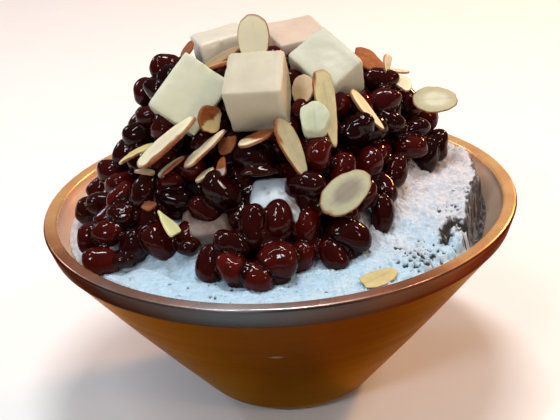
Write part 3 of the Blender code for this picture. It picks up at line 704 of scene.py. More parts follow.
class Beans:
    """Beans as short rods of three balls, which are pushed about until none lies deep in another."""

    def __init__(self):
        self.centre, self.axis, self.size = np.zeros((0, 3)), np.zeros((0, 3)), np.zeros((0, 2))
        self.hold, self.depth = np.zeros(0), np.zeros(0)

    def lay(self, centre, axis, size, hold, depth):
        """Add one bean with how firmly it is held in place and how deep it lies."""
        self.centre = np.vstack((self.centre, [centre]))
        self.axis = np.vstack((self.axis, [unit(axis)]))
        self.size = np.vstack((self.size, [size]))
        self.hold = np.append(self.hold, hold)
        self.depth = np.append(self.depth, depth)

    def relax(self, outline, solids, fixed, steps):
        """Push the beans after the first few out of each other and of the solids, under the outline."""
        home, home_axis = self.centre.copy(), self.axis.copy()
        hold = self.hold[:, None]
        radius = self.size[:, 1] / 2
        half = (self.size[:, 0] / 2 - radius) + ROD_EXTRA
        ball = np.repeat(radius, 3) * SQUEEZE
        owner = np.repeat(np.arange(len(home)), 3)
        touching = ball[:, None] + ball[None, :]
        same = owner[:, None] == owner[None, :]
        for _ in range(steps):
            reach = np.array([-1, 0, 1])[:, None] * half[:, None, None]
            balls = (self.centre[:, None] + self.axis[:, None] * reach).reshape(-1, 3)
            gap = balls[:, None, :] - balls[None, :, :]
            far = np.sqrt((gap**2).sum(2)) + 1e-6
            press = np.where(same, 0, np.maximum(0, touching - far))
            push = (gap / far[:, :, None] * press[:, :, None]).sum(1) * BEAN_PUSH
            moved = balls + np.clip(push, -STEP_LIMIT, STEP_LIMIT)
            for k in range(fixed * 3, len(moved)):
                spot, normal, _, distance = solids.find_nearest(Vector(moved[k]))
                away = Vector(moved[k]) - spot
                if away.dot(normal) < 0:
                    moved[k] += np.array(normal) * min(STEP_LIMIT, distance + ball[k]) * SOLID_PUSH
                elif distance < ball[k]:
                    moved[k] += np.array(away.normalized()) * (ball[k] - distance) * SOLID_PUSH
            ground = ice_height(moved[:, 0], moved[:, 1]) + ball * ICE_STANDOFF
            moved[:, 2] += np.maximum(0, ground - moved[:, 2]) * SOLID_PUSH
            moved = moved.reshape(-1, 3, 3)
            centre, axis = moved.mean(1), unit(moved[:, 2] - moved[:, 0])
            axis = unit(axis + (home_axis - axis) * hold)
            centre += (home - centre) * hold
            for k in range(fixed, len(centre)):
                spot, normal, *_ = outline.find_nearest(Vector(centre[k]))
                out = Vector(centre[k]) - spot
                if out.dot(normal) < 0:
                    out = -out
                if out.length < 1e-4:
                    out = normal
                goal = np.array(spot - out.normalized() * self.depth[k])
                centre[k] += (goal - centre[k]) * OUTLINE_PULL * (1 - self.hold[k])
            self.centre[fixed:] = centre[fixed:]
            self.axis[fixed:] = axis[fixed:]


def scatter(beans, corners, depth, spacing, tries, draw):
    """Throw beans on the outline wherever there is still room, each lying roughly along it."""
    areas = np.array([np.linalg.norm(np.cross(c[1] - c[0], c[2] - c[0])) * (len(c) - 2) / 2
                      for c, _ in corners])
    areas *= np.array([normal[2] > OVERHANG for _, normal in corners])
    for pick in draw.choice(len(corners), tries, p=areas / areas.sum()):
        points, normal = corners[pick]
        share = draw.dirichlet(np.ones(len(points)))
        spot = share @ points - normal * depth
        if len(beans.centre) and np.linalg.norm(beans.centre - spot, axis=1).min() < spacing:
            continue
        if spot[2] < ice_height(spot[0], spot[1]) + ICE_CLEAR:
            continue
        if any(np.linalg.norm(spot - np.array(place)) < radius for place, radius in OPEN_SPOTS):
            continue
        lie = unit(np.cross(normal, draw.normal(size=3))) + normal * draw.normal() * TILT_SPREAD
        long = np.clip(draw.normal(*BEAN_LONG[:2]), *BEAN_LONG[2:])
        wide = np.clip(long * draw.normal(*BEAN_WIDE[:2]), *BEAN_WIDE[2:])
        beans.lay(spot, lie, (long, wide), 0.0, depth + draw.normal() * DEPTH_SPREAD)


def bean_points(rings, sides):
    """A grid of unit directions from one end of a bean to the other, with its faces."""
    along = np.pi * np.arange(1, rings) / rings
    about = 2 * np.pi * np.arange(sides) / sides
    grid = [(np.cos(a), np.sin(a) * np.cos(b), np.sin(a) * np.sin(b)) for a in along for b in about]
    return np.array([*grid, (1, 0, 0), (-1, 0, 0)]), [face[::-1] for face in ring_faces(rings - 1, sides)]


def bean_shape(grid, long, wide, draw):
    """One bean about the origin: blunt ends, a flatter side with a dip, soft dents and a creased skin."""
    end = grid[:, 0]
    blunt = np.maximum(np.hypot(grid[:, 1], grid[:, 2]), 0.01)**-draw.uniform(*BEAN_BLUNT)
    y = grid[:, 1] * blunt * wide / 2
    z = grid[:, 2] * blunt * wide / 2 * draw.uniform(*BEAN_FLAT)
    taper = 1 + draw.normal() * BEAN_TAPER * end
    middle = np.exp(-(end / 0.45)**2)
    y = y * taper * (1 - draw.uniform(*BEAN_DIP) * middle * (grid[:, 1] < 0) * -grid[:, 1])
    y = y - wide * draw.uniform(*BEAN_BEND) * end**2
    swell = np.ones(len(grid))
    for _ in range(5):
        wave = draw.normal(size=3) * 2.6
        swell += draw.uniform(*BEAN_WAVE) * np.sin(grid @ wave + draw.uniform(0, 6.3))
    for _ in range(draw.integers(*BEAN_DENTS)):
        side = unit(draw.normal(size=3))
        swell -= draw.uniform(*DENT_DEPTH) * smoothstep((grid @ side - 0.6) / 0.4)
    creased = draw.uniform(0, 1)**2
    for _ in range(3):
        wave = np.array((1.2, 5, 5)) * draw.normal(size=3)
        swell -= CREASE_DEPTH * creased * np.abs(np.sin(grid @ wave + draw.uniform(0, 6.3)))**0.7
    return np.column_stack((end * long / 2, y, z * taper)) * swell[:, None]


def pressed(points, k, beans):
    """A bean's points pushed off its neighbours into flats, and how close each is to a neighbour."""
    near = np.flatnonzero(np.linalg.norm(beans.centre - beans.centre[k], axis=1) < NEIGHBOUR)
    closest = np.full(len(points), FAR_AWAY)
    for j in near[near != k]:
        radius = beans.size[j, 1] / 2 * BEAN_SWELL
        half = beans.size[j, 0] / 2 * BEAN_SWELL - radius
        reach = np.clip((points - beans.centre[j]) @ beans.axis[j], -half, half)
        away = points - beans.centre[j] - reach[:, None] * beans.axis[j]
        far = np.linalg.norm(away, axis=1) + 1e-6
        gap = far - radius
        points = points + away / far[:, None] * (np.clip(-gap, 0, OVERLAP_LIMIT) * OVERLAP_SHARE)[:, None]
        closest = np.minimum(closest, gap)
    return points, np.exp(-np.clip(closest, 0, None) / POOL_REACH)


def make_beans(beans, swell, fine, coarse):
    """All the beans as one mesh, with a tone for each and how near each point is to the next bean."""
    points, polygons, tone, close = [], [], [], []
    grids = bean_points(*fine), bean_points(*coarse)
    start = 0
    for k, centre in enumerate(beans.centre):
        draw = np.random.default_rng(SHAPE_SEED + k)
        grid, faces = grids[k >= shown_count]
        x_axis = beans.axis[k]
        y_axis = unit(np.cross(x_axis, draw.normal(size=3)))
        turn = np.array((x_axis, y_axis, np.cross(x_axis, y_axis)))
        placed, near = pressed(bean_shape(grid, *beans.size[k] * swell, draw) @ turn + centre, k, beans)
        points.append(placed + (0, 0, RIM_HEIGHT))
        polygons += [tuple(start + i for i in face) for face in faces]
        start += len(grid)
        ripe = RIPE_TONE * smoothstep((-centre[1] - RIPE_FRONT) / RIPE_FADE) * (centre[0] > RIPE_LEFT)
        tone.append(np.full(len(grid), min(1, draw.uniform(0, 0.8) + ripe)))
        close.append(near)
    mesh = mesh_of("beans", np.vstack(points), polygons)
    paint(mesh, "tone", np.concatenate(tone))
    paint(mesh, "close", np.concatenate(close))
    return mesh


# Simmered bean skin under syrup: wine-brown, from nearly black to brick red where a bean is plumper, and
# black where two beans nearly touch, which is syrup standing there and painted shade of the crevice; a wet
# coat's ripples break the highlights into thin lines.
bean_finish, tree, shader, where = start_material(
    "bean_skin_syruped", roughness=0.5, specular_ior_level=0.0, ior=1.45, coat_weight=1.0,
    coat_roughness=0.015, coat_ior=1.3, subsurface_weight=0.05, subsurface_radius=(1, 0.2, 0.08),
    subsurface_scale=0.003)
tone = add(tree, "Attribute", attribute_name="tone")
tint = add(tree, "ValToRGB", {0: tone.outputs["Fac"]},
           stops=[(0, "#1a0202"), (0.35, "#2a0302"), (0.7, "#3c0603"), (1, "#541006")])
mottle = add(tree, "TexNoise", {"Vector": where, "Scale": per(3.8462), "Detail": 4})
shade = add(tree, "MixRGB", {0: 0.6, 1: tint, 2: mottle}, blend_type="OVERLAY")
close = add(tree, "Attribute", attribute_name="close")
# Painted shade: points close to the next bean are darkened to the syrup's near-black.
deep = add(tree, "MapRange", {0: close.outputs["Fac"], 1: 0.15, 2: 0.85, 4: 0.88},
           interpolation_type="SMOOTHSTEP")
syrup_and_crevice_shade = add(tree, "MixRGB", {0: deep, 1: shade, 2: linear("#100202")})
wrinkle = add(tree, "TexNoise", {"Vector": where, "Scale": per(1.6129), "Detail": 3, "Distortion": 0.5})
crease = add(tree, "Bump", {"Strength": 0.4, "Distance": 0.0003, "Height": wrinkle})
ripple = add(tree, "TexNoise", {"Vector": where, "Scale": per(4.7619), "Detail": 2, "Distortion": 0.8})
glaze = add(tree, "Bump", {"Strength": 0.55, "Distance": 0.0007, "Height": ripple})
feed(shader, {"Base Color": syrup_and_crevice_shade, "Normal": crease, "Coat Normal": glaze})

outline, outline_corners = heap_surface()
solids = node_tree([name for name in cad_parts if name.startswith(("rice_cake", "almond"))])
draw = np.random.default_rng(SCATTER_SEED)
beans = Beans()
for x, y, height, heading, climb, long, wide in LAID_BEANS:
    beans.lay((x, y, height), axis_of(heading, climb), (long, wide), LAID_HOLD, BEAN_DEPTH)
scatter(beans, outline_corners, BEAN_DEPTH, BEAN_SPACING, BEAN_TRIES, draw)
beans.relax(outline, solids, 0, RELAX_STEPS)
shown_count = len(beans.centre)
scatter(beans, outline_corners, UNDER_DEPTH, UNDER_SPACING, UNDER_TRIES, draw)
beans.relax(outline, solids, shown_count, RELAX_STEPS // 2)
heap = make_beans(beans, BEAN_SWELL, BEAN_RINGS, UNDER_RINGS)
put("red_beans", heap, "red_bean", (bean_finish,), "bean_heap")

# ---- Syrup ----
# The sugar syrup the beans were boiled in. It fills the gaps between them, climbs a little up each one,
# hangs in short drips at the edge and carries the crushed beans of the heap's inside.

CORE_DEPTH = 9
CORE_SHRINK = 7
CORE_FOOT = 8
SYRUP_VOXEL = 0.95
SYRUP_SHARE = 0.97        # beans drawn in this much under the syrup's skin
SYRUP_SMOOTH = 5
NECK_GAP = 0.5            # syrup bridges beans that are no further apart than this
NECK_SIZE = (3.8, 3.8, 3.8)
NECK_STEPS = np.linspace(-1, 1, 7)
FOOT_REACH = 7            # beans this close above the ice stand in a rim of syrup
FOOT_SPREAD, FOOT_HEIGHT = 0.8, 2.4    # the rim's width as a share of the bean's, and its height
FOOT_RISE = 0.3           # the middle of the rim stands this high above the ice
DROP_RINGS = (8, 12)
DRAWN_RINGS, DRAWN_UNDER_RINGS = (9, 14), (7, 10)    # of the beans drawn in under the syrup
# Thicker drops of syrup in the gaps of the heap: centre, and size across, deep and tall.
DROPS = [((-31, -44, 3), (9, 8, 6)), ((-53, -42, -1), (8, 7, 5)), ((-4, -50, 8), (16, 7, 7)),
         ((14, -42, 13), (8, 8, 8)), ((8, -43, 15), (6, 6, 8)), ((53, 3, 11), (6, 6, 12)),
         ((57, 6, 11), (6, 6, 12)), ((-6, -38, 25), (15, 4.5, 3.2))]


def biggest_island(mesh):
    """Keep only the largest connected part of a mesh, and drop the closed bubbles inside it."""
    bm = bmesh.new()
    bm.from_mesh(mesh)
    left, islands = set(bm.verts), []
    while left:
        front = [left.pop()]
        islands.append(set(front))
        while front:
            found = {vert for edge in front.pop().link_edges for vert in edge.verts} & left
            left -= found
            islands[-1] |= found
            front += found
    keep = max(islands, key=len)
    bmesh.ops.delete(bm, geom=[v for v in bm.verts if v not in keep], context="VERTS")
    bm.to_mesh(mesh)
    bm.free()


def remeshed(mesh, voxel, smooth):
    """One even skin round everything in a mesh, smoothed a few times so that it bridges the gaps."""
    source = enter("source", mesh)
    skin = source.modifiers.new("skin", "REMESH")
    skin.mode = "VOXEL"
    skin.voxel_size = voxel * MM
    soften = source.modifiers.new("soften", "SMOOTH")
    soften.factor = 0.5
    soften.iterations = smooth
    graph = bpy.context.evaluated_depsgraph_get()
    made = bpy.data.meshes.new_from_object(source.evaluated_get(graph))
    bpy.data.objects.remove(source)
    made.shade_smooth()
    return made


def bean_necks():
    """The middle of each gap where two shown beans nearly touch."""
    half = (beans.size[:, 0] - beans.size[:, 1]) / 2
    rods = beans.centre[:, None] + NECK_STEPS[:, None] * half[:, None, None] * beans.axis[:, None]
    wide = beans.size[:, 1]
    necks = []
    for k in range(shown_count):
        far_off = np.linalg.norm(beans.centre[:shown_count] - beans.centre[k], axis=1)
        for j in range(k + 1, shown_count):
            if far_off[j] > NEIGHBOUR - 1:
                continue
            far = np.linalg.norm(rods[k][:, None] - rods[j][None], axis=2)
            a, b = np.unravel_index(far.argmin(), far.shape)
            if far[a, b] - (wide[k] + wide[j]) / 2 * BEAN_SWELL < NECK_GAP:
                necks.append(rods[k][a] + (rods[j][b] - rods[k][a]) * wide[k] / (wide[k] + wide[j]))
    return necks


def make_syrup():
    """The heap's core, the beans a little drawn in, the necks between them and the drops, as one skin."""
    top = (*HEAP_CENTRE, RIM_HEIGHT + float(heap_height(*HEAP_CENTRE)) - CORE_DEPTH)
    rings = [ring + (0, 0, RIM_HEIGHT) for ring in heap_rings(CORE_SHRINK, CORE_DEPTH)]
    core = closed_mesh("core", rings, top, (*HEAP_CENTRE, RIM_HEIGHT - CORE_FOOT))
    balls = DROPS + [(place, NECK_SIZE) for place in bean_necks()]
    for (x, y, height), wide in zip(beans.centre[:shown_count], beans.size[:, 1]):
        ground = float(ice_height(x, y))
        if height - ground < FOOT_REACH:
            size = (wide * FOOT_SPREAD, wide * FOOT_SPREAD, FOOT_HEIGHT)
            balls.append(((x, y, ground + FOOT_RISE), size))
    grid, faces = bean_points(*DROP_RINGS)
    points = [grid * np.array(size) / 2 + centre + (0, 0, RIM_HEIGHT) for centre, size in balls]
    polygons = [tuple(k * len(grid) + i for i in face) for k in range(len(balls)) for face in faces]
    bm = bmesh.new()
    bm.from_mesh(core)
    bm.from_mesh(mesh_of("drops", np.vstack(points), polygons))
    bm.from_mesh(make_beans(beans, SYRUP_SHARE * BEAN_SWELL, DRAWN_RINGS, DRAWN_UNDER_RINGS))
    mesh = bpy.data.meshes.new("syrup")
    bm.to_mesh(mesh)
    bm.free()
    made = remeshed(mesh, SYRUP_VOXEL, SYRUP_SMOOTH)
    biggest_island(made)
    return made


# Boiled-down sugar syrup stained by the beans: almost black where it is deep, red-brown where it is thin,
# with a sharp wet gloss.
syrup_finish, tree, shader, where = start_material("bean_syrup_glossy", roughness=0.03, ior=1.3)
cloud = add(tree, "TexNoise", {"Vector": where, "Scale": per(9.0909), "Detail": 3})
tint = add(tree, "ValToRGB", {0: cloud}, stops=[(0, "#120202"), (0.5, "#240503"), (1, "#400e06")])
ripple = add(tree, "TexNoise", {"Vector": where, "Scale": per(2.8571), "Detail": 2})
relief = add(tree, "Bump", {"Strength": 0.4, "Distance": 0.0006, "Height": ripple})
feed(shader, {"Base Color": tint, "Normal": relief})
put("bean_syrup", make_syrup(), "red_bean", (syrup_finish,))

# ---- Rice cakes ----
# Soft tteok cut by hand from a slab of steamed and pounded rice, then dusted with rice flour. Five sit on
# top of the heap, one is sunk in the beans in front and one beside it is stained by the syrup.

CAKE_VOXEL = 0.5
CAKE_SMOOTH = 2
CAKE_SHARPEN = 0.45       # share of the solid's edge rounding that the knife cut doesn't have
# How far syrup has melted a cake into a rounder block, and how round that is: 2 is a ball.
CAKE_MELTED = {"buried": 0.6, "stained": 0.7}
MELT_POWER = 3
# How far out from its middle a block starts to melt and to be sharpened, as shares of its half size, and
# within how much more the sharpening reaches full strength.
MELT_FROM, SHARPEN_FROM, SHARPEN_OVER = 0.6, 0.72, 0.15
# Unevenness of the faces: size of a feature and its height, the second one stronger where it has melted.
CAKE_SAG, CAKE_RIPPLE, CAKE_MELT_RIPPLE = (7, 0.28), (2.6, 0.09), 0.35
BLISTERS = 9
BLISTER_SIZE = (0.5, 1.1)
BLISTER_RISE = (0.3, -0.35)
# Colour of each cake, set lighter or darker as painted light and shade for how light falls on it in place,
# and where syrup has stained it: a direction and how far along it the stain starts.
CLEAN = (0, 0, 9)
CAKES = {
    "left": ("#d2d3ba", CLEAN), "front": ("#c6bda4", CLEAN), "right": ("#c6c5b0", CLEAN),
    "back_right": ("#cebba9", CLEAN), "back_left": ("#dad4c2", CLEAN),
    "buried": ("#c0ced6", (1, -0.2, -0.2)), "stained": ("#7c6a62", (0.7, 0.3, -0.6)),
}
STAIN = "#6a4a36"
STAIN_DEPTH = 0.85
STAIN_FADE = 0.9
STAIN_CLOUDS = ((4, 0.9, 8), (1.4, 0.5, 9))    # its ragged edge: size, reach and a seed


def paint_colour(mesh, name, colours):
    """Keep one colour for each vertex, which a material reads by name."""
    attribute = mesh.color_attributes.new(name, "FLOAT_COLOR", "POINT")
    attribute.data.foreach_set("color", np.asarray(colours, np.float32).ravel())


def block_axes(normals):
    """The three directions that a block's faces point in."""
    axes = []
    for _ in range(3):
        free = np.ones(len(normals), bool)
        for axis in axes:
            free &= np.abs(normals @ axis) < 0.3
        picks = normals[free][::7]
        axis = picks[(np.abs(picks @ picks.T) > 0.98).sum(1).argmax()]
        same = picks[np.abs(picks @ axis) > 0.98]
        axis = (same * np.sign(same @ axis)[:, None]).mean(0)
        for other in axes:
            axis = axis - other * (axis @ other)
        axes.append(unit(axis))
    return np.array(axes)


def span(points):
    """The middle and the half size of a set of points along each axis."""
    return (points.max(0) + points.min(0)) / 2, (points.max(0) - points.min(0)) / 2


def reshaped(points, axes, melted):
    """A block's points with its edges brought out to a knife cut, or drawn in where syrup melted them."""
    middle, half = span(points @ axes.T)
    share = (points @ axes.T - middle) / half
    ordered = np.sort(np.abs(share), axis=1)
    if melted:
        grow = (np.abs(share)**MELT_POWER).sum(1)**(-1 / MELT_POWER)
        grow = np.where(ordered[:, 2] > MELT_FROM, 1 + (grow - 1) * melted, 1)
    else:
        near_edge = smoothstep((ordered[:, 1] - SHARPEN_FROM) / SHARPEN_OVER)
        grow = 1 + (1 / np.maximum(ordered[:, 2], 0.5) - 1) * near_edge * CAKE_SHARPEN
    return (share * grow[:, None] * half + middle) @ axes


def make_cake(node, melted, code, stain, seed):
    """A cut block with soft, slightly uneven edges, faces that sag a little, and a few small blisters."""
    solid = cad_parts[node].data.copy()
    solid.materials.clear()
    mesh = remeshed(solid, CAKE_VOXEL, CAKE_SMOOTH)
    points = np.array([v.co for v in mesh.vertices]) / MM
    normals = np.array([v.normal for v in mesh.vertices])
    points = reshaped(points, block_axes(normals), melted)
    (sag, sunk), (ripple, rise) = CAKE_SAG, CAKE_RIPPLE
    lift = noise_at(points, sag, seed) * sunk
    lift += noise_at(points, ripple, seed + 4) * (rise + CAKE_MELT_RIPPLE * melted)
    draw = np.random.default_rng(int(seed * 10))
    for _ in range(BLISTERS):
        spot = points[draw.integers(len(points))]
        size = draw.uniform(*BLISTER_SIZE)
        lift = lift + draw.choice(BLISTER_RISE) * size * np.exp(-((points - spot)**2).sum(1) / size**2)
    mesh.vertices.foreach_set("co", ((points + normals * lift[:, None]) * MM).ravel())
    mesh.update()
    middle, half = span(points)
    along = ((points - middle) / half)[:, :2] @ np.array(stain[:2]) - stain[2]
    along += sum(noise_at(points, size, seed + more) * reach for size, reach, more in STAIN_CLOUDS)
    soaked = smoothstep(along / STAIN_FADE)[:, None] * STAIN_DEPTH
    paint_colour(mesh, "tint", soaked * np.array(linear(STAIN)) + (1 - soaked) * np.array(linear(code)))
    return mesh


# Fresh tteok: dense and white with a milky glow, since light goes a few millimetres in, a damp satin skin,
# and a dry dusting that takes the shine off in patches.
cake_finish, tree, shader, where = start_material(
    "rice_cake_steamed", roughness=0.42, ior=1.42, subsurface_weight=0.4,
    subsurface_radius=(1, 0.8, 0.55), subsurface_scale=0.003, coat_weight=0.08, coat_roughness=0.3)
tint = add(tree, "Attribute", attribute_name="tint")
cloud = add(tree, "TexNoise", {"Vector": where, "Scale": per(8.3333), "Detail": 4})
shade = add(tree, "MixRGB", {0: 0.16, 1: tint, 2: cloud}, blend_type="OVERLAY")
flour = add(tree, "TexNoise", {"Vector": where, "Scale": per(1.1111), "Detail": 3})
dust = add(tree, "MapRange", {0: flour, 1: 0.35, 2: 0.65, 3: 0.34, 4: 0.6})
relief = add(tree, "Bump", {"Strength": 0.25, "Distance": 0.00025, "Height": flour})
feed(shader, {"Base Color": shade, "Roughness": dust, "Normal": relief})

for number, (kind, (code, stain)) in enumerate(CAKES.items()):
    node = "rice_cake_" + kind
    cake = make_cake(node, CAKE_MELTED.get(kind, 0), code, stain, 11.3 * number + 2)
    put(node + "_soft", cake, "rice_cake", (cake_finish,), node)

# ---- Sliced almonds ----
# Whole almonds sliced lengthwise with the skin on, so each slice is cream inside a thin brown rim. Some
# pieces are ends or broken bits that show a face of skin.

ALMOND_SIDES = 44
ALMOND_RINGS = (0.18, 0.4, 0.62, 0.8, 0.92, 0.985)
ALMOND_EDGE = [(1, 0.55), (1.012, 0), (1, -0.55)]    # the rounded edge: how far out, and its height
# Flesh colour, partly the slice's own tone and partly painted light and shade for where it lies, how brown
# the rim is, the side that keeps its skin (a direction in the slice's own plane: 0 is the pointed end, 90
# to its left seen from outside), how far across the skin starts, and how much the outline narrows towards
# the point.
ALMOND_PLAIN = ("#ecdfba", 0.8, 0, 2, 0.22)
ALMONDS = {
    "standing_top": ("#fff8d4", 1, 0, 2, 0.3), "under_top": ("#a68c68", 0.7, 0, 2, 0.2),
    "sliver_top": ("#c98a52", 1, 270, 0.1, 0.1), "back_left": ("#c98f5c", 1, 0, -2, 0),
    "left_upright": ("#dcc690", 1, 225, -0.12, 0), "long_left": ("#ebe0bc", 0.9, 270, 0.6, 0.3),
    "yellow_left": ("#e8d68a", 0.4, 270, 0.7, 0.3), "narrow_left": ("#f0e4c0", 0.8, 270, 0.3, 0.2),
    "mid_left": ("#f0e0bc", 0.8, 270, 0.75, 0.3), "skin_behind": ("#a9693c", 1, 0, -2, 0),
    "flake_tan": ("#b8aaa2", 1, 180, -0.1, 0.1), "skin_front": ("#f0dfb8", 0.9, 20, -0.35, 0.1),
    "centre_front": ("#bcb08c", 1, 235, 0.72, 0.3), "tan_disc": ("#dcc09a", 0.5, 0, 2, 0.1),
    "chunk": ("#cad0b2", 0.05, 0, 2, 0.05), "right_upright": ("#ccc296", 0.8, 225, 0.98, 0.55),
    "right_slant": ("#ffe4b8", 0.9, 265, 1.1, 0.35), "big_oval": ("#aaac8c", 0.9, 190, 0.86, 0.16),
    "under_oval": ("#8a5228", 1, 0, -2, 0.1), "far_right": ("#b8b28e", 1, 0, 2, 0.1),
    "skin_back": ("#7d3f1a", 1, 0, -2, 0), "green_piece": ("#e2e3a8", 0.15, 0, 2, -0.75),
    "flake_left": ("#b06a2c", 1, 0, -2, 0), "on_ice": ("#ccbe86", 0.05, 0, 2, 0.1),
}
# Share of the solid's thickness and width, and how blunt: 1 is an ellipse, and less makes the sides
# straighter and the ends blunter.
PLAIN_SHARES = (0.72, 1, 0.95)
ALMOND_SHARES = {
    "chunk": (1, 1, 0.9), "long_left": (0.8, 1.25, 0.9), "on_ice": (0.4, 1, 0.9),
    "right_upright": (0.72, 1, 0.7), "left_upright": (0.8, 1.15, 0.95), "mid_left": (0.72, 0.95, 0.95),
}
RAGGED = (0.004, 0.014)   # how far the edge wanders, as a share of the size
RAGGED_WAVES = (3, 5, 8, 13)
ALMOND_CURL = 0.3
CLEFT_DEPTH = 0.08
CHUNK_SLANT = 1.3         # the broken chunk's front face lies this much higher than its back
# Straight broken edges: directions in the slice's plane and how far out each break lies.
BREAKS = {
    "chunk": ((20, 0.9), (95, 0.86), (165, 0.93), (240, 0.9), (310, 0.92)), "mid_left": ((0, 0.93),),
    "green_piece": ((5, 0.55), (60, 0.8)), "left_upright": ((185, 0.85), (90, 0.8), (0, 0.9)),
    "flake_left": ((30, 0.6), (200, 0.7)), "flake_tan": ((120, 0.6), (10, 0.75)), "on_ice": ((165, 0.75),),
    "skin_behind": ((200, 0.5),), "under_long": ((180, 0.6),), "skin_back": ((60, 0.75), (190, 0.8)),
    "small_right": ((170, 0.7),), "sliver_right": ((150, 0.6),), "long_left": ((10, 0.93),),
}
# The heart of a slice, where it is darker than the rest, or paler where the number is below 0. The paler
# hearts are partly painted light, lifting faces that lie in shade.
HEARTS = {"big_oval": 1.15, "standing_top": -0.5, "far_right": -0.6}
PLAIN_HEART = 0.15


def slice_frame(kind):
    """Where a slice lies: its centre, its own three axes (point, width, outside) and its three sizes."""
    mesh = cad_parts["almond_" + kind].data
    points = np.unique(np.round(np.array([v.co for v in mesh.vertices]) / MM, 3), axis=0)
    centre = points.mean(0)
    _, _, axes = np.linalg.svd(points - centre)
    local = (points - centre) @ axes.T
    if (np.abs(local[:, 1]) * local[:, 0]).sum() > 0:
        axes[0] = -axes[0]
    if axes[2] @ np.array([0, -0.6, 0.8]) < 0:
        axes[2] = -axes[2]
    axes[1] = np.cross(axes[2], axes[0])
    return centre, axes, 2 * span((points - centre) @ axes.T)[1]


def slice_outline(kind, long, wide, taper, blunt, draw):
    """The outline of a slice in its own plane: an oval with a point, a ragged edge and its breaks."""
    angles = 2 * np.pi * np.arange(ALMOND_SIDES) / ALMOND_SIDES
    ragged = 0.98 + sum(draw.uniform(*RAGGED) * np.sin(k * angles + draw.uniform(0, 6.3))
                        for k in RAGGED_WAVES)
    pointed = (1 - taper * np.cos(angles)) / (1 + abs(taper) * 0.3)
    x = long / 2 * np.cos(angles) * ragged
    y = wide / 2 * np.sign(np.sin(angles)) * np.abs(np.sin(angles))**blunt * pointed * ragged
    for direction, reach in BREAKS.get(kind, ()):
        aim = math.radians(direction)
        out = (x * math.cos(aim) / long + y * math.sin(aim) / wide) * 2
        jag = reach * (1 + 0.012 * np.sin(7 * angles + direction) + 0.012 * np.sin(13 * angles))
        shrink = np.where(out > jag, jag / np.maximum(out, 0.01), 1)
        x, y = x * shrink, y * shrink
    return x, y


def make_almond(kind, code, rim, turn, start, taper, seed):
    """A thin leaf with a soft edge, a faint cleft along it, a curl, and its skin where it has kept it."""
    centre, axes, (long, wide, thick) = slice_frame(kind)
    thin, slim, blunt = ALMOND_SHARES.get(kind, PLAIN_SHARES)
    thick, wide = thick * thin, wide * slim
    draw = np.random.default_rng(seed)
    x, y = slice_outline(kind, long, wide, taper, blunt, draw)
    curl = draw.normal() * ALMOND_CURL
    rows = [(share, 1) for share in ALMOND_RINGS] + ALMOND_EDGE
    rows += [(share, -1) for share in ALMOND_RINGS[::-1]]
    points, skin = [], []
    for share, level in rows:
        side = level * thick / 2 * (1 - 0.12 * share**6)
        points.append(np.column_stack((x * share, y * share, np.full(ALMOND_SIDES, side))))
        skin.append(np.full(ALMOND_SIDES, rim if abs(level) < 1 else rim * 0.75 * (share > 0.95)))
    points = np.vstack((*points, (0, 0, thick / 2), (0, 0, -thick / 2)))
    if kind == "chunk":
        points[:, 0] += points[:, 2] / thick * 2 * CHUNK_SLANT
    u, v = points[:, 0] / (long / 2), points[:, 1] / (wide / 2)
    cleft = np.exp(-(v / 0.06)**2) * (np.abs(u) < 0.7) * draw.uniform(0, 1)
    heart = 1 - smoothstep((np.hypot(u * 1.05, v * 1.15) - 0.5) / 0.25)
    face_side = np.sign(points[:, 2]) * (np.abs(points[:, 2]) > thick * 0.3)
    points[:, 2] += curl * (u**2 - 0.4) - face_side * cleft * CLEFT_DEPTH
    points[:, 2] += noise_at(points, 3.2, seed) * 0.1 * (thick / 1.3)
    kept = u * math.cos(math.radians(turn)) + v * math.sin(math.radians(turn))
    kept = smoothstep((kept - start + noise_at(points, 2.5, seed + 3) * 0.25) / 0.12)
    world = points @ axes + centre
    mesh = closed_mesh(kind, world[:-2].reshape(len(rows), ALMOND_SIDES, 3), *world[-2:])
    paint(mesh, "skin", np.maximum(np.append(np.concatenate(skin), (0, 0)), kept))
    paint(mesh, "cleft", (cleft * 0.45 + heart * HEARTS.get(kind, PLAIN_HEART)) * (face_side != 0))
    paint_colour(mesh, "tint", [linear(code)] * len(points))
    return mesh


# Raw almond: dry, close-grained flesh of a waxy cream with fine lengthwise cells, and a papery brown skin
# that is rough and veined.
almond_finish, tree, shader, where = start_material("almond_sliced", ior=1.46, subsurface_weight=0.2,
                                                    subsurface_radius=(1, 0.8, 0.5), subsurface_scale=0.0012)
tint = add(tree, "Attribute", attribute_name="tint")
skin = add(tree, "Attribute", attribute_name="skin")
cleft = add(tree, "Attribute", attribute_name="cleft")
cell = add(tree, "TexNoise", {"Vector": where, "Scale": per(2.6316), "Detail": 4})
flesh = add(tree, "MixRGB", {0: 0.22, 1: tint, 2: cell}, blend_type="OVERLAY")
seam = add(tree, "Math", {0: cleft.outputs["Fac"], 1: 0.8}, operation="MULTIPLY", use_clamp=True)
darker = add(tree, "MixRGB", {0: seam, 1: flesh, 2: linear("#807a6e")})
pale = add(tree, "Math", {0: cleft.outputs["Fac"], 1: -0.7}, operation="MULTIPLY", use_clamp=True)
marked = add(tree, "MixRGB", {0: pale, 1: darker, 2: linear("#faf6e4")})
vein = add(tree, "TexNoise", {"Vector": where, "Scale": per(1.9231), "Detail": 4, "Distortion": 1.0})
brown = add(tree, "ValToRGB", {0: vein}, stops=[(0, "#4e240a"), (0.5, "#8a481a"), (1, "#b27236")])
colour = add(tree, "MixRGB", {0: skin.outputs["Fac"], 1: marked, 2: brown})
dry = add(tree, "MapRange", {0: skin.outputs["Fac"], 3: 0.42, 4: 0.62})
relief = add(tree, "Bump", {"Strength": 0.3, "Distance": 0.0002, "Height": vein})
feed(shader, {"Base Color": colour, "Roughness": dry, "Normal": relief})

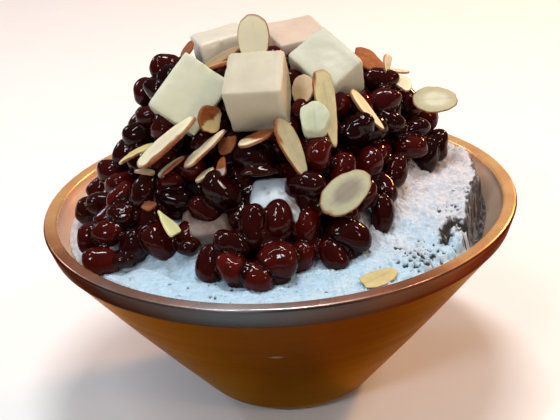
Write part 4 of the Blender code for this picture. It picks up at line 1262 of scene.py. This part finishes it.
almond_nodes = sorted(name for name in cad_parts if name.startswith("almond"))
for number, node in enumerate(almond_nodes):
    kind = node.removeprefix("almond_")
    leaf = make_almond(kind, *ALMONDS.get(kind, ALMOND_PLAIN), 40 + number)
    put(node + "_slice", leaf, "almond", (almond_finish,), node)

# ---- Stage, light and camera ----
# A pale table and seven soft lamps: two overhead and one at the right draw the highlights on the syrup, one
# in front fills in, and warm ones from the right and a cool one from the left tint the bowl. The room is
# brightest overhead and dim towards the horizon, which keeps the wet beans dark at their rims.

FLOOR_SIZE = 6000
CAMERA_PLACE = (0, -0.3888, 0.2462)
CAMERA_LENS = 75.1
CAMERA_SENSOR = 36
CAMERA_SHIFT = (0.0021, -0.0286)
CAMERA_ROLL = -4.08
# Place, the height aimed at, size, power in watts and colour of each lamp.
LAMPS = {
    "lamp_over": ((0.05, 0.06, 1.25), 0.08, (0.44, 0.12), 7.8, "#ffffff"),
    "lamp_strip": ((-0.42, -0.35, 1.05), 0.08, (0.05, 0.4), 2.2, "#ffffff"),
    "lamp_right": ((0.75, -0.15, 0.95), 0.08, (0.15, 0.15), 2.4, "#fff0e0"),
    "lamp_soft": ((-0.5, -0.95, 0.8), 0.06, (0.25, 0.12), 4.0, "#e8f1ff"),
    "lamp_side": ((0.8, -0.8, 0.6), 0.06, (0.12, 0.2), 1.6, "#ffd9b4"),
    "lamp_warm": ((0.8, 0.75, 0.6), 0.08, (0.2, 0.1), 7.5, "#ffb470"),
    "lamp_cool": ((-1.0, 0.7, 0.7), 0.06, (0.3, 0.2), 3.0, "#d0e2ff"),
}


def stand(name, data, place, aim):
    """Put a lamp or the camera in the scene at a place, turned to a point."""
    holder = enter(name, data)
    holder.location = place
    holder.rotation_euler = (Vector(aim) - Vector(place)).to_track_quat("-Z", "Y").to_euler()
    return holder


# Matt pale paint with a faint roller texture.
paint_finish, tree, shader, where = start_material("table_matt_paint", roughness=0.8)
roller = add(tree, "TexNoise", {"Vector": where, "Scale": per(16.667), "Detail": 3})
tint = add(tree, "ValToRGB", {0: roller}, stops=[(0, "#f8f7f4"), (1, "#fcfbf9")])
feed(shader, {"Base Color": tint})

corners = np.array([(-1, -1, 0), (1, -1, 0), (1, 1, 0), (-1, 1, 0)]) * FLOOR_SIZE / 2
floor_mesh = mesh_of("table", corners, [(0, 1, 2, 3)])
floor_mesh.materials.append(paint_finish)
floor = enter("table", floor_mesh)
floor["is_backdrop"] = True

for name, (place, aim, (across, tall), power, code) in LAMPS.items():
    lamp = bpy.data.lights.new(name, "AREA")
    lamp.shape = "RECTANGLE"
    lamp.size = across
    lamp.size_y = tall
    lamp.energy = power
    lamp.color = linear(code)[:3]
    stand(name, lamp, place, (0, 0, aim))

world = bpy.data.worlds.new("room")
bpy.context.scene.world = world
world.use_nodes = True
tree = world.node_tree
where = add(tree, "TexCoord").outputs["Generated"]
split = add(tree, "SeparateXYZ", {0: where})
sky = add(tree, "MapRange", {0: split.outputs[2], 1: 0.0, 2: 0.9, 3: 0.1, 4: 0.24})
feed(tree.nodes["Background"], {"Color": linear("#f4f2ef"), "Strength": sky})
bpy.context.scene.view_settings.view_transform = "Standard"

lens = bpy.data.cameras.new("camera")
lens.lens = CAMERA_LENS
lens.sensor_width = CAMERA_SENSOR
lens.shift_x, lens.shift_y = CAMERA_SHIFT
camera = stand("camera", lens, CAMERA_PLACE, (0, 0, RIM_HEIGHT * MM))
camera.rotation_euler.rotate_axis("Z", math.radians(CAMERA_ROLL))
bpy.context.scene.camera = camera

low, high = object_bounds()
